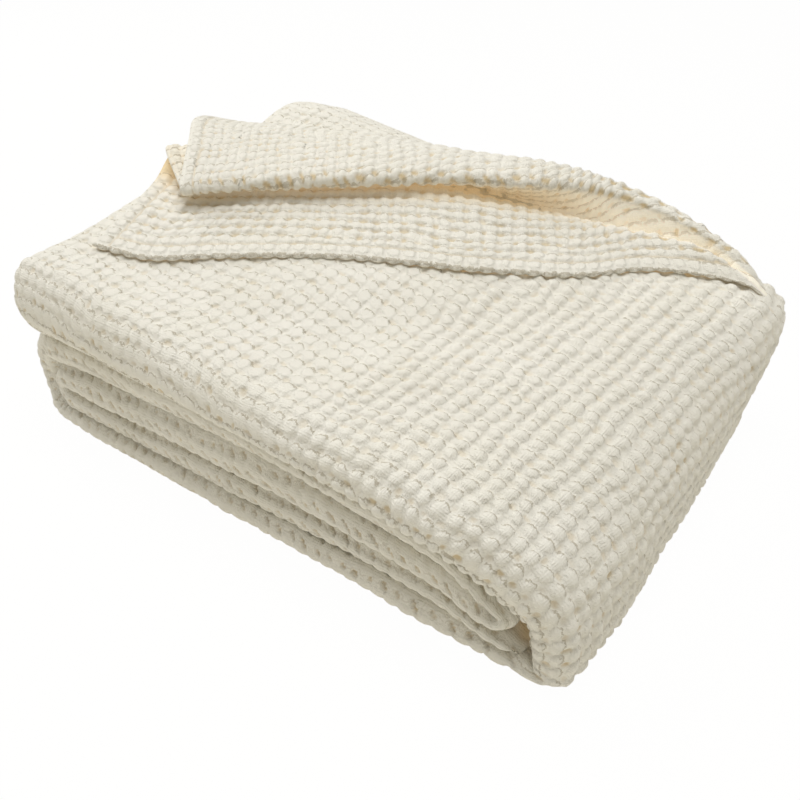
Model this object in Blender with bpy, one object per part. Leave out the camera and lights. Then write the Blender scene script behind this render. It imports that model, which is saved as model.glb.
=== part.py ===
"""Waffle weave cotton blanket, folded and rolled into a low pack with one corner turned back on top.

The cloth is one piece.  Its roll path starts with a free end inside the pack, goes back and forth
in three runs, passes under the pack, wraps up over the right end and lies over everything as the lid.
At the back the lid turns over and comes forward again as two flaps, one folded on top of the other.
Tables are in centimetres from the near bottom corner: x along the front, y to the back, z up.
"""
import math

import bpy
import bmesh
import numpy as np

CENTIMETRE = 0.01
PACK_FRONT = -2.1
PACK_BACK = 29.4
LID_BULGE = 1.9
LID_MIDDLE = 0.38
LID_NOSE = 3.6
LAYER_GAP = 0.07
PLY_SLIT = 0.015
CLOTH_THICKNESS = 0.36
FLAP_CLEARANCE = 0.26
ROOT_DEPTH = 0.9

# Front edge of the fold that joins the two plies of each run, and how far its roundness reaches back.
BOTTOM_FRONT = -1.25
BOTTOM_BULGE = 0.7
FIRST_FRONT = -1.1
SECOND_FRONT = -1.15
THIRD_FRONT = -1.0
BEND_FRONT = -0.9
RUN_BULGE = 0.9
# How far the bends stand out past where the runs end.
INNER_BEND = 1.9
RIGHT_NOSE = 1.7
OUTER_BEND_INSIDE = 2.05
OUTER_BEND = 4.2
BEND_SLIT = 0.08
# The foot of the wrap, on the ground at the right end.
FOOT_INSIDE = -1.7
FOOT_THICKNESS = 0.9
# The right end leans toward the back over this length, and least at this height.
LEAN_START = -14.0
LEAN_LENGTH = 13.0
LEAN_HEIGHT = 9.0
# Rounding of the two plies' back edges.
BACK_ROUND = 0.3

# Steps in each span of the flap cloth's section, from hem to root.
FLAP_STEPS = (2, 2, 3, 2, 2, 2, 2, 2, 2, 3, 2, 2)

# Height of the gap above each run of the roll, along the front.
RUN_GAPS = (
    # x, over bottom run, over third run, over second run, over first run
    (-44.0, 1.0, 2.6, 4.6, 6.6),
    (-39.5, 1.0, 2.6, 4.6, 6.8),
    (-35.0, 1.0, 2.6, 4.9, 7.1),
    (-28.0, 1.2, 2.9, 5.2, 7.0),
    (-20.0, 1.4, 3.1, 5.5, 6.8),
    (-12.0, 1.7, 3.2, 4.9, 6.4),
    (-7.0, 1.5, 2.8, 4.5, 5.6),
    (-5.0, 1.2, 2.2, 3.6, 4.6),
    (-4.0, 1.0, 1.9, 3.0, 4.0),
    (-2.0, 0.9, 1.7, 2.3, 2.8),
)
RUN_STATIONS = (-38.5, -34.0, -28.0, -22.0, -16.0, -12.0, -8.5, -6.0, -4.0)
LEFT_BEND = -38.5
RIGHT_BEND = -4.0

# Outer face of the lid where it wraps down over the right end, by depth.
SHOULDER = -16.0
LID_FOOT = 0.8
LID_RISE = 0.104
LID_SHAPE = (
    # y, height at the shoulder, end x, fullness along, fullness down, lean of the foot
    (-3.0, 9.4, 0.1, 1.05, 0.50, 0.0),
    (0.0, 9.6, 0.3, 1.04, 0.46, 0.0),
    (6.0, 10.0, 0.5, 1.02, 0.48, 0.1),
    (12.0, 10.2, 0.4, 0.98, 0.48, 0.5),
    (20.0, 10.4, 0.3, 0.72, 0.42, 1.1),
    (24.0, 10.4, 0.2, 0.45, 0.30, 1.5),
    (27.5, 10.4, -0.1, 0.26, 0.20, 1.8),
    (30.0, 10.3, -0.7, 0.26, 0.20, 1.8),
)
# Inner face of the same wrap, which hugs the right ends of the runs.
WRAP_INSIDE = (
    # share of the way, x, z
    (0.00, -16.0, 6.80),
    (0.20, -12.0, 6.52),
    (0.36, -9.0, 6.15),
    (0.48, -7.0, 5.75),
    (0.60, -5.0, 4.85),
    (0.67, -4.0, 4.38),
    (0.74, -3.0, 4.05),
    (0.79, -2.4, 3.72),
    (0.84, -2.0, 3.20),
    (0.89, -1.95, 2.45),
    (0.93, -1.85, 1.80),
    (0.97, -1.75, 1.30),
    (1.00, -1.7, 0.97),
)
# The stack is fuller toward the back left, where the cloth turns over.
LOFT = 0.27
LOFT_LEFT = -31.0
LOFT_WIDTH = 18.0
LOFT_BY_DEPTH = (
    # y, share of the loft
    (-3.0, 0.0),
    (2.0, 0.0),
    (10.0, 0.31),
    (16.0, 0.50),
    (21.0, 0.86),
    (24.5, 1.14),
    (27.0, 0.98),
    (30.0, 0.60),
)

# One row per line across the flaps, from their left hems to the right back corner.
FLAP_EDGES = (
    # hem x, y, z, front fold x, y, z, back rim x, y, z, root x, y
    (-37.3, 2.7, 12.5, -35.2, 8.6, 14.9, -42.2, 16.4, 16.7, -40.6, 19.2),
    (-33.6, 3.9, 12.2, -33.7, 10.6, 14.9, -39.9, 18.2, 16.2, -38.8, 20.4),
    (-30.7, 6.1, 12.3, -32.0, 12.6, 14.9, -37.8, 19.6, 16.1, -37.2, 21.8),
    (-27.8, 8.3, 12.4, -29.6, 14.6, 15.0, -35.2, 21.0, 15.9, -35.2, 23.2),
    (-24.2, 10.9, 12.4, -27.0, 16.7, 15.1, -31.6, 22.8, 15.7, -31.8, 24.8),
    (-20.5, 13.3, 12.2, -24.0, 19.4, 15.1, -27.8, 24.3, 15.5, -28.2, 26.4),
    (-17.2, 15.4, 11.9, -21.2, 21.8, 15.0, -23.8, 26.0, 15.2, -24.2, 27.8),
    (-14.4, 17.9, 11.5, -18.2, 24.1, 14.8, -20.1, 27.9, 14.9, -20.2, 28.5),
    (-11.5, 20.5, 11.2, -15.4, 26.3, 14.4, -16.8, 28.9, 14.6, -16.4, 28.5),
    (-9.1, 24.0, 11.0, -12.3, 27.5, 13.6, -13.0, 29.2, 14.1, -12.6, 28.8),
    (-7.0, 25.5, 10.9, -9.2, 28.0, 12.9, -9.9, 29.3, 13.4, -9.6, 28.9),
    (-4.9, 26.5, 10.7, -6.1, 27.9, 12.1, -6.8, 29.0, 12.6, -6.6, 28.9),
    (-3.1, 26.9, 10.3, -3.7, 27.9, 11.2, -4.0, 28.5, 11.6, -4.1, 28.9),
    (-1.6, 27.1, 9.1, -1.8, 27.8, 9.4, -2.0, 28.2, 9.4, -2.1, 28.7),
)
# The same lines: the crest and the pocket of the lower flap are placed by their share of the way from
# hem to rim and their height; turn is the radius of the folds, overhang is one where the upper flap
# folds over the lower one, and thinning narrows the cloth where all of it runs into the corner.
FLAP_SECTIONS = (
    # crest at, crest z, pocket at, pocket z, turn, overhang, thinning
    (0.55, 13.9, 0.73, 15.4, 0.4, 1.0, 1.0),
    (0.5, 13.6, 0.75, 15.1, 0.4, 1.0, 1.0),
    (0.5, 13.6, 0.77, 15.0, 0.4, 1.0, 1.0),
    (0.5, 13.6, 0.79, 14.9, 0.4, 1.0, 1.0),
    (0.5, 13.6, 0.81, 14.8, 0.4, 1.0, 1.0),
    (0.52, 13.7, 0.84, 14.5, 0.38, 1.0, 1.0),
    (0.56, 13.7, 0.86, 13.9, 0.36, 0.9, 1.0),
    (0.62, 13.3, 0.88, 13.0, 0.36, 0.7, 1.0),
    (0.66, 12.9, 0.89, 12.5, 0.36, 0.4, 1.0),
    (0.62, 12.4, 0.8, 12.0, 0.34, 0.1, 0.95),
    (0.54, 12.0, 0.7, 11.7, 0.28, 0.0, 0.8),
    (0.46, 11.4, 0.62, 11.2, 0.22, 0.0, 0.65),
    (0.26, 10.6, 0.42, 10.8, 0.0, 0.0, 0.4),
    (0.24, 9.2, 0.44, 9.3, 0.0, 0.0, 0.3),
)


def smooth_step(share):
    share = np.clip(share, 0.0, 1.0)
    return share * share * (3.0 - 2.0 * share)


def smooth_curve(stations, values, where):
    """Curve through the given values that never swings past them."""
    stations = np.asarray(stations, float)
    values = np.asarray(values, float)
    where = np.clip(where, stations[0], stations[-1])
    step = np.diff(stations)
    rise = np.diff(values) / step
    slope = np.zeros(len(stations))
    slope[0] = rise[0]
    slope[-1] = rise[-1]
    for i in range(1, len(stations) - 1):
        if rise[i - 1] * rise[i] > 0.0:
            before = 2.0 * step[i] + step[i - 1]
            after = step[i] + 2.0 * step[i - 1]
            slope[i] = (before + after) / (before / rise[i - 1] + after / rise[i])
    i = np.clip(np.searchsorted(stations, where, side="right") - 1, 0, len(step) - 1)
    t = (where - stations[i]) / step[i]
    start = values[i] * (1.0 + 2.0 * t) * (1.0 - t) ** 2 + step[i] * slope[i] * t * (1.0 - t) ** 2
    end = values[i + 1] * t * t * (3.0 - 2.0 * t) + step[i] * slope[i + 1] * t * t * (t - 1.0)
    return start + end


def column(table, index):
    return [row[index] for row in table]


def run_gap(index, x):
    """Height of the gap above run number index; zero is the ground."""
    if index == 0:
        return np.zeros_like(x)
    return smooth_curve(column(RUN_GAPS, 0), column(RUN_GAPS, index), x)


def lid_shape(y):
    return [smooth_curve(column(LID_SHAPE, 0), column(LID_SHAPE, i), y) for i in range(1, 6)]


def lid_height(x, y):
    """Height of the lid's outer face before the loft is added."""
    height, end, along, down, lean = lid_shape(y)
    share = np.clip((x - SHOULDER) / (end - SHOULDER), 0.0, 1.0)
    fall = np.clip(1.0 - share ** (2.0 / along), 0.0, 1.0) ** (down / 2.0)
    sloped = LID_FOOT + (height - LID_FOOT) * fall
    return np.where(x < SHOULDER, height + LID_RISE * (SHOULDER - x), sloped)


def settle(x, y, z):
    """Loft toward the back left, and lean of the right end toward the back."""
    share_x = 1.0 - smooth_step((x - LOFT_LEFT) / LOFT_WIDTH)
    share_y = smooth_curve(column(LOFT_BY_DEPTH, 0), column(LOFT_BY_DEPTH, 1), y)
    lean = lid_shape(y)[4] * smooth_step((x - LEAN_START) / LEAN_LENGTH)
    lean = lean * np.clip(1.0 - z / LEAN_HEIGHT, 0.0, 1.0)
    return x - lean, y, z * (1.0 + LOFT * share_x * share_y)


def wrap_outside(share, y):
    """Point of the wrap's outer face at a share of its length, for each depth."""
    height, end, along, down, lean = lid_shape(y)
    angle = np.linspace(0.0, math.pi / 2.0, 300)
    found = []
    for h, e, a, d in zip(height, end, along, down):
        x = SHOULDER + (e - SHOULDER) * np.sin(angle) ** a
        z = LID_FOOT + (h - LID_FOOT) * np.cos(angle) ** d
        length = np.concatenate([[0.0], np.cumsum(np.hypot(np.diff(x), np.diff(z)))])
        found.append((np.interp(share, length / length[-1], x), np.interp(share, length / length[-1], z)))
    found = np.array(found)
    return found[:, 0], found[:, 1]


class Cut:
    """One cut across the roll path: its two faces by depth, and its front fold."""

    def __init__(self, faces, front, bulge, middle=0.5):
        self.faces = faces
        self.front = front
        self.bulge = bulge
        self.middle = middle


def run_cut(low, high, x, rising, front, bulge=RUN_BULGE):
    def faces(y):
        station = np.full_like(y, x)
        bottom = run_gap(low, station) + (LAYER_GAP / 2.0 if low else 0.0)
        top = run_gap(high, station) - LAYER_GAP / 2.0
        return (station, bottom, station, top) if rising else (station, top, station, bottom)
    return Cut(faces, front, bulge)


def end_cut(low, high, x, fullness):
    """Softly closed free end of a run."""
    def faces(y):
        station = np.full_like(y, x)
        bottom = run_gap(low, station) + LAYER_GAP / 2.0
        top = run_gap(high, station) - LAYER_GAP / 2.0
        middle = 0.5 * (bottom + top)
        return station, middle + (bottom - middle) * fullness, station, middle + (top - middle) * fullness
    return Cut(faces, -0.6, 0.7)


def bend_cut(centre, side, angle, first, second, front):
    """Cut in a bend; first and second are (reach, middle height, half height) of its two faces."""
    def faces(y):
        points = []
        for reach, middle, half in (first, second):
            points.append(np.full_like(y, centre + side * reach * math.cos(angle)))
            points.append(np.full_like(y, middle + half * math.sin(angle)))
        return tuple(points)
    return Cut(faces, front, RUN_BULGE)


def foot_cut(angle):
    def faces(y):
        end = lid_shape(y)[1]
        share = angle / (math.pi / 2.0) + 1.0
        inner_x = np.full_like(y, FOOT_INSIDE)
        inner_z = np.full_like(y, FOOT_THICKNESS + 0.05 * share)
        outer_x = end - LID_FOOT + LID_FOOT * math.cos(angle)
        outer_z = np.full_like(y, LID_FOOT + LID_FOOT * math.sin(angle))
        return inner_x, inner_z, outer_x, outer_z
    return Cut(faces, BEND_FRONT, RUN_BULGE - 0.1)


def wrap_cut(share):
    def faces(y):
        inner_x = np.full_like(y, np.interp(share, column(WRAP_INSIDE, 0), column(WRAP_INSIDE, 1)))
        inner_z = np.full_like(y, np.interp(share, column(WRAP_INSIDE, 0), column(WRAP_INSIDE, 2)))
        outer_x, outer_z = wrap_outside(share, y)
        return inner_x, inner_z, outer_x, outer_z
    narrowing = smooth_step((share - 0.35) / 0.65)
    front = PACK_FRONT + 1.2 * narrowing
    return Cut(faces, front, LID_BULGE - 1.1 * narrowing, LID_MIDDLE + 0.12 * share)


def lid_cut(x):
    def faces(y):
        station = np.full_like(y, x)
        return station, run_gap(4, station) + LAYER_GAP / 2.0, station, lid_height(station, y)
    return Cut(faces, PACK_FRONT, LID_BULGE, LID_MIDDLE)


def nose_cut(share):
    """Rounded left end of the lid."""
    x = LEFT_BEND - LID_NOSE * share

    def faces(y):
        station = np.full_like(y, x)
        low = run_gap(4, station) + LAYER_GAP / 2.0
        high = lid_height(station, y)
        middle = 0.55 * low + 0.45 * high
        closing = (1.0 - share ** 2.4) ** (1.0 / 2.4)
        return station, middle + (low - middle) * closing, station, middle + (high - middle) * closing
    front = PACK_FRONT + 1.7 * share ** 3
    return Cut(faces, front, LID_BULGE - 0.6 * share, LID_MIDDLE + 0.12 * share)


def gap_at(index, x):
    return float(run_gap(index, np.array([x]))[0])


def roll_cuts():
    """All cuts along the roll path, from the free inner end to the left nose of the lid."""
    cuts = []
    ground_gap, third_gap, second_gap, first_gap = [gap_at(i, LEFT_BEND) for i in (1, 2, 3, 4)]
    # third run, from its free end to the left
    cuts.append(end_cut(1, 2, -2.3, 0.5))
    cuts.append(run_cut(1, 2, -2.7, True, THIRD_FRONT + 0.1))
    for x in RUN_STATIONS[::-1]:
        cuts.append(run_cut(1, 2, x, True, THIRD_FRONT))
    # inner left bend
    outside = (INNER_BEND, (ground_gap + second_gap) / 2.0, (second_gap - ground_gap - LAYER_GAP) / 2.0)
    inside = (BEND_SLIT, third_gap, LAYER_GAP / 2.0)
    for angle in np.radians(np.linspace(-90, 90, 9)[1:-1]):
        cuts.append(bend_cut(LEFT_BEND, -1, angle, outside, inside, BEND_FRONT))
    # second run, to the right
    for x in RUN_STATIONS:
        cuts.append(run_cut(2, 3, x, False, SECOND_FRONT))
    # right bend
    low, middle, high = [gap_at(i, RIGHT_BEND) for i in (2, 3, 4)]
    inside = (BEND_SLIT, middle, LAYER_GAP / 2.0)
    outside = (RIGHT_NOSE, (low + high) / 2.0, (high - low - LAYER_GAP) / 2.0)
    for angle in np.radians(np.linspace(-90, 90, 9)[1:-1]):
        cuts.append(bend_cut(RIGHT_BEND, 1, angle, inside, outside, THIRD_FRONT))
    # first run, to the left
    for x in RUN_STATIONS[::-1]:
        cuts.append(run_cut(3, 4, x, True, FIRST_FRONT))
    # outer left bend, down to the ground
    inside = (OUTER_BEND_INSIDE, (ground_gap + second_gap) / 2.0, (second_gap - ground_gap + LAYER_GAP) / 2.0)
    outside = (OUTER_BEND, (first_gap - LAYER_GAP / 2.0) / 2.0, (first_gap - LAYER_GAP / 2.0) / 2.0)
    for angle in np.radians(np.linspace(90, -90, 11)[1:-1]):
        front = -1.2 + 0.9 * math.cos(angle) ** 2
        cuts.append(bend_cut(LEFT_BEND, -1, angle, inside, outside, front))
    # bottom run, to the right
    for x in RUN_STATIONS:
        cuts.append(run_cut(0, 1, x, False, BOTTOM_FRONT, BOTTOM_BULGE))
    cuts.append(run_cut(0, 1, -2.6, False, BOTTOM_FRONT + 0.1, BOTTOM_BULGE))
    # foot, wrap over the right end, lid and its left nose
    for angle in np.radians((-90, -60, -30)):
        cuts.append(foot_cut(angle))
    for share in np.linspace(1.0, 0.0, 15):
        cuts.append(wrap_cut(share))
    for x in (-20.5, -25.0, -29.5, -34.0, -38.5):
        cuts.append(lid_cut(x))
    for share in (0.42, 0.68, 0.86, 0.96, 0.995):
        cuts.append(nose_cut(share))
    return cuts


def cut_loop(cut):
    """Closed loop of (depth, share across): two plies joined in a front fold, open at the back."""
    loop = []
    depths = (4.0, 9.0, 14.0, 18.5, 22.0, 25.5)
    back = PACK_BACK
    slit_front = cut.front + cut.bulge + 1.2
    loop.append((back - BACK_ROUND, 0.0))
    for y in depths[::-1]:
        loop.append((y, 0.0))
    for angle in np.radians(np.linspace(-90, 90, 9)):
        reach = cut.middle if angle < 0.0 else 1.0 - cut.middle
        loop.append((cut.front + cut.bulge * (1.0 - math.cos(angle)), cut.middle + reach * math.sin(angle)))
    for y in depths:
        loop.append((y, 1.0))
    loop.append((back - BACK_ROUND, 1.0))
    loop.append((back, 0.84))
    loop.append((back, 0.66))
    loop.append((back - BACK_ROUND, 0.5 + PLY_SLIT))
    for y in depths[::-1]:
        loop.append((y, 0.5 + PLY_SLIT))
    loop.append((slit_front, 0.5 + PLY_SLIT))
    loop.append((slit_front - 0.15, 0.5))
    loop.append((slit_front, 0.5 - PLY_SLIT))
    for y in depths:
        loop.append((y, 0.5 - PLY_SLIT))
    loop.append((back - BACK_ROUND, 0.5 - PLY_SLIT))
    loop.append((back, 0.34))
    loop.append((back, 0.16))
    return np.array(loop)


def roll_rings():
    rings = []
    for cut in roll_cuts():
        loop = cut_loop(cut)
        depth = loop[:, 0]
        across = loop[:, 1]
        inner_x, inner_z, outer_x, outer_z = cut.faces(depth)
        x = inner_x + (outer_x - inner_x) * across
        z = inner_z + (outer_z - inner_z) * across
        x, y, z = settle(x, depth, z)
        rings.append(np.stack([x, y, z], axis=1))
    return rings


def lid_top(point):
    """Height of the settled lid at a point, without the lean of its end."""
    x = np.array([point[0]])
    y = np.array([point[1]])
    return float(settle(x, y, lid_height(x, y))[2][0])


def blend(start, end, share):
    return start + (end - start) * share


def flap_lines():
    """Middle line of the flap cloth for each row: hem, crest, pocket, front fold, rim, root."""
    lines = []
    up = np.array([0.0, 0.0, 1.0])
    for edges, section in zip(FLAP_EDGES, FLAP_SECTIONS):
        hem = np.array(edges[0:3])
        fold = np.array(edges[3:6])
        rim = np.array(edges[6:9])
        root = np.array([edges[9], edges[10], 0.0])
        root[2] = lid_top(root) - ROOT_DEPTH
        crest_at, crest_z, pocket_at, pocket_z, turn, overhang, _ = section
        across = (rim - hem) * (1.0, 1.0, 0.0)
        back = across / np.linalg.norm(across)
        over = (rim - fold) * (1.0, 1.0, 0.0)
        width = float(np.linalg.norm(over))
        over = over / width
        crest = hem + across * crest_at
        crest[2] = crest_z
        pocket = hem + across * pocket_at
        pocket[2] = pocket_z
        dip = pocket - back * blend(turn, 0.6, overhang) - up * turn
        lower = [hem, 0.5 * (hem + crest), crest, dip]
        if overhang > 0.0:
            for point in lower:
                point[2] = max(point[2], lid_top(point) + FLAP_CLEARANCE)
        pocket[2] = max(pocket[2], dip[2] + turn)
        reach = min(0.8, 0.45 * width)
        tail = [
            rim,
            0.5 * (rim + root) + over * 0.5 * min(1.0, width) + up * 0.25 * (rim[2] - root[2]),
            root,
        ]
        if turn == 0.0:
            rise = [blend(hem, rim, share) for share in np.linspace(0.0, 0.75, 10)]
            lines.append(np.array(rise + tail))
            continue
        points = lower + [
            pocket + back * turn,
            pocket + back * blend(1.2 * turn, -0.6, overhang) + up * turn * blend(1.6, 1.0, overhang),
            fold + over * blend(0.4 * turn, reach, overhang) - up * turn * blend(1.5, 1.0, overhang),
            fold,
            fold + over * reach + up * turn * blend(0.7, 1.0, overhang),
            0.5 * (fold + rim) + over * 0.1 * width + up * turn * blend(0.9, 1.4, overhang),
        ]
        lines.append(np.array(points + tail))
    return lines


def spline(points, counts):
    """Smooth line through the points, with the given number of steps in each span."""
    count = len(points)
    knots = np.concatenate([[0.0], np.cumsum(np.linalg.norm(np.diff(points, axis=0), axis=1) ** 0.6)])
    slope = np.zeros_like(points)
    for i in range(count):
        a = max(i - 1, 0)
        b = min(i + 1, count - 1)
        slope[i] = (points[b] - points[a]) / (knots[b] - knots[a])
    out = [points[0]]
    for i in range(count - 1):
        width = knots[i + 1] - knots[i]
        for k in range(1, counts[i] + 1):
            t = k / counts[i]
            near = points[i] * (1.0 + 2.0 * t) * (1.0 - t) ** 2 + slope[i] * width * t * (1.0 - t) ** 2
            far = points[i + 1] * t * t * (3.0 - 2.0 * t) + slope[i + 1] * width * t * t * (t - 1.0)
            out.append(near + far)
    return np.array(out)


def grid_normals(grid):
    along = np.gradient(grid, axis=0)
    across = np.gradient(grid, axis=1)
    normal = np.cross(along, across)
    return normal / np.linalg.norm(normal, axis=2, keepdims=True)


def flap_rings():
    """Closed loops round the flap cloth, one per row, with rounded hems at the front and the left."""
    grid = np.array([spline(line, FLAP_STEPS) for line in flap_lines()])
    normal = grid_normals(grid)
    half = CLOTH_THICKNESS / 2.0
    rings = []
    outward = grid[0] - grid[1]
    outward = outward / np.linalg.norm(outward, axis=1, keepdims=True)
    rows = [(grid[0] + outward * half, normal[0], half * 0.45)]
    for line, sides, thinning in zip(grid, normal, column(FLAP_SECTIONS, 6)):
        rows.append((line, sides, half * thinning))
    for line, sides, thickness in rows:
        upper = line + sides * thickness
        lower = line - sides * thickness
        hem = line[0] - line[1]
        hem = line[0] + hem / np.linalg.norm(hem) * half
        rings.append(np.concatenate([hem[None], upper, lower[::-1]]))
    return rings


def closed_mesh(name, rings, end_strips):
    """Mesh of a closed body from its rings; the ends are filled between facing points or as one face."""
    mesh = bmesh.new()
    count = len(rings[0])
    loops = []
    for ring in rings:
        loops.append([mesh.verts.new([float(value) for value in point]) for point in ring])
    for first, second in zip(loops, loops[1:]):
        for i in range(count):
            k = (i + 1) % count
            mesh.faces.new((first[i], first[k], second[k], second[i]))
    for loop in (loops[0], loops[-1]):
        if end_strips:
            mesh.faces.new((loop[0], loop[1], loop[-1]))
            for i in range(1, count // 2):
                mesh.faces.new((loop[i], loop[i + 1], loop[-i - 1], loop[-i]))
        else:
            mesh.faces.new(loop)
    bmesh.ops.recalc_face_normals(mesh, faces=mesh.faces)
    bmesh.ops.triangulate(mesh, faces=mesh.faces, ngon_method="EAR_CLIP")
    data = bpy.data.meshes.new(name)
    mesh.to_mesh(data)
    mesh.free()
    thing = bpy.data.objects.new(name, data)
    bpy.context.scene.collection.objects.link(thing)
    return thing


def foot_middle(rings):
    """Point under the middle of everything, on the ground."""
    points = np.concatenate(rings)
    middle = 0.5 * (points.min(axis=0) + points.max(axis=0))
    return np.array([middle[0], middle[1], 0.0])


def in_metres(rings, origin):
    return [(ring - origin) * CENTIMETRE for ring in rings]


def woven_cotton():
    material = bpy.data.materials.new("woven_cotton")
    material.use_nodes = True
    shader = material.node_tree.nodes["Principled BSDF"]
    shader.inputs["Base Color"].default_value = (0.80, 0.76, 0.65, 1.0)
    shader.inputs["Roughness"].default_value = 0.92
    return material


# BUILD: the roll and the flaps are made as two bodies and joined into the one cloth.
for leftover in list(bpy.data.objects):
    bpy.data.objects.remove(leftover, do_unlink=True)

roll = roll_rings()
flap = flap_rings()
origin = foot_middle(roll + flap)
blanket = closed_mesh("blanket", in_metres(roll, origin), False)
flaps = closed_mesh("flaps", in_metres(flap, origin), True)
join = blanket.modifiers.new("join", "BOOLEAN")
join.operation = "UNION"
join.solver = "EXACT"
join.object = flaps
bpy.context.view_layer.objects.active = blanket
blanket.select_set(True)
bpy.ops.object.modifier_apply(modifier=join.name)
bpy.data.objects.remove(flaps, do_unlink=True)

blanket.data.materials.clear()
blanket.data.materials.append(woven_cotton())
for face in blanket.data.polygons:
    face.use_smooth = True
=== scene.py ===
"""Looks of the folded waffle weave blanket.

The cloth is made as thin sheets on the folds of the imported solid: the lid and its wrap over the right
end, the runs that show as bands along the front, and the corner turned back on top.  Tables are in
centimetres from the near bottom corner: x along the front, y to the back, z up.
"""

import math
from functools import partial

import bpy
import numpy as np
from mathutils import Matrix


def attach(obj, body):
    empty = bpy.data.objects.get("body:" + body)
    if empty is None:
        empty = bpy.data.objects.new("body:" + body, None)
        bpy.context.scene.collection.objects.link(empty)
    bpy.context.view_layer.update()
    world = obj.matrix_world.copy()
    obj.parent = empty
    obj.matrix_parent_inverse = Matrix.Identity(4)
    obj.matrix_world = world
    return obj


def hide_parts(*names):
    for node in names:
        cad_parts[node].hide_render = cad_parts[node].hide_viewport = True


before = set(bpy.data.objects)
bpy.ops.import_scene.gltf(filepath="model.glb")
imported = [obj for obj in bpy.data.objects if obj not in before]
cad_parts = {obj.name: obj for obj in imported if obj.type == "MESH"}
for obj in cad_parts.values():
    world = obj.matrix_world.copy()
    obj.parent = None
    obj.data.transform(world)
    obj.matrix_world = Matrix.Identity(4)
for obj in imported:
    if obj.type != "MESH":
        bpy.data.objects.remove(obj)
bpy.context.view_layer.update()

CENTIMETRE = 0.01
FOOT_MIDDLE = np.array([-21.1368, 13.7917, 0.0])

# ---------------------------------------------------------------- sizes of the pack
PACK_FRONT = -2.1
PACK_BACK = 29.4
LID_BULGE = 1.9
LID_MIDDLE = 0.38
LID_NOSE = 3.6
LAYER_GAP = 0.07
PLY_SLIT = 0.015
CLOTH_THICKNESS = 0.36
FLAP_CLEARANCE = 0.26
ROOT_DEPTH = 0.9
# Front edge and bulge of the fold of each run.
BOTTOM_FOLD = (-1.25, 0.7)
FIRST_FOLD = (-1.1, 0.9)
SECOND_FOLD = (-1.15, 0.9)
THIRD_FOLD = (-1.0, 0.9)
FOOT_FOLD = (-0.9, 0.8)
INNER_BEND = 1.9
RIGHT_NOSE = 1.7
OUTER_BEND_INSIDE = 2.05
OUTER_BEND = 4.2
BEND_SLIT = 0.08
FOOT_INSIDE = -1.7
FOOT_THICKNESS = 0.9
LEAN_START = -14.0
LEAN_LENGTH = 13.0
LEAN_HEIGHT = 9.0
BACK_ROUND = 0.3
LEFT_BEND = -38.5
RIGHT_BEND = -4.0
SHOULDER = -16.0
SHOULDER_SOFTNESS = 1.4
LID_FOOT = 0.8
LID_RISE = 0.104
FREE_END = -2.9
FREE_END_ROUND = 0.7

# Height of the gap above each run of the roll, along the front.
RUN_GAPS = (
    # x, over bottom run, over third run, over second run, over first run
    (-44.0, 1.0, 2.6, 4.6, 6.6),
    (-39.5, 1.0, 2.6, 4.6, 6.8),
    (-35.0, 1.0, 2.6, 4.9, 7.1),
    (-28.0, 1.2, 2.9, 5.2, 7.0),
    (-20.0, 1.4, 3.1, 5.5, 6.8),
    (-12.0, 1.7, 3.2, 4.9, 6.4),
    (-7.0, 1.5, 2.8, 4.5, 5.6),
    (-5.0, 1.2, 2.2, 3.6, 4.6),
    (-4.0, 1.0, 1.9, 3.0, 4.0),
    (-2.0, 0.9, 1.7, 2.3, 2.8),
)
# Outer face of the lid where it wraps down over the right end, by depth.
LID_SHAPE = (
    # y, height at the shoulder, end x, fullness along, fullness down, lean of the foot
    (-3.0, 9.4, 0.1, 1.05, 0.50, 0.0),
    (0.0, 9.6, 0.3, 1.04, 0.46, 0.0),
    (6.0, 10.0, 0.5, 1.02, 0.48, 0.1),
    (12.0, 10.2, 0.4, 0.98, 0.48, 0.5),
    (20.0, 10.4, 0.3, 0.72, 0.42, 1.1),
    (24.0, 10.4, 0.2, 0.45, 0.30, 1.5),
    (27.5, 10.4, -0.1, 0.26, 0.20, 1.8),
    (30.0, 10.3, -0.7, 0.26, 0.20, 1.8),
)
# Inner face of the same wrap, which hugs the right ends of the runs.
WRAP_INSIDE = (
    # share of the way, x, z
    (0.00, -16.0, 6.80),
    (0.20, -12.0, 6.52),
    (0.36, -9.0, 6.15),
    (0.48, -7.0, 5.75),
    (0.60, -5.0, 4.85),
    (0.67, -4.0, 4.38),
    (0.74, -3.0, 4.05),
    (0.79, -2.4, 3.72),
    (0.84, -2.0, 3.20),
    (0.89, -1.95, 2.45),
    (0.93, -1.85, 1.80),
    (0.97, -1.75, 1.30),
    (1.00, -1.7, 0.97),
)
# The stack is fuller toward the back left, where the cloth turns over.
LOFT = 0.27
LOFT_LEFT = -31.0
LOFT_WIDTH = 18.0
LOFT_BY_DEPTH = (
    # y, share of the loft
    (-3.0, 0.0),
    (2.0, 0.0),
    (10.0, 0.31),
    (16.0, 0.50),
    (21.0, 0.86),
    (24.5, 1.14),
    (27.0, 0.98),
    (30.0, 0.60),
)
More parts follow.
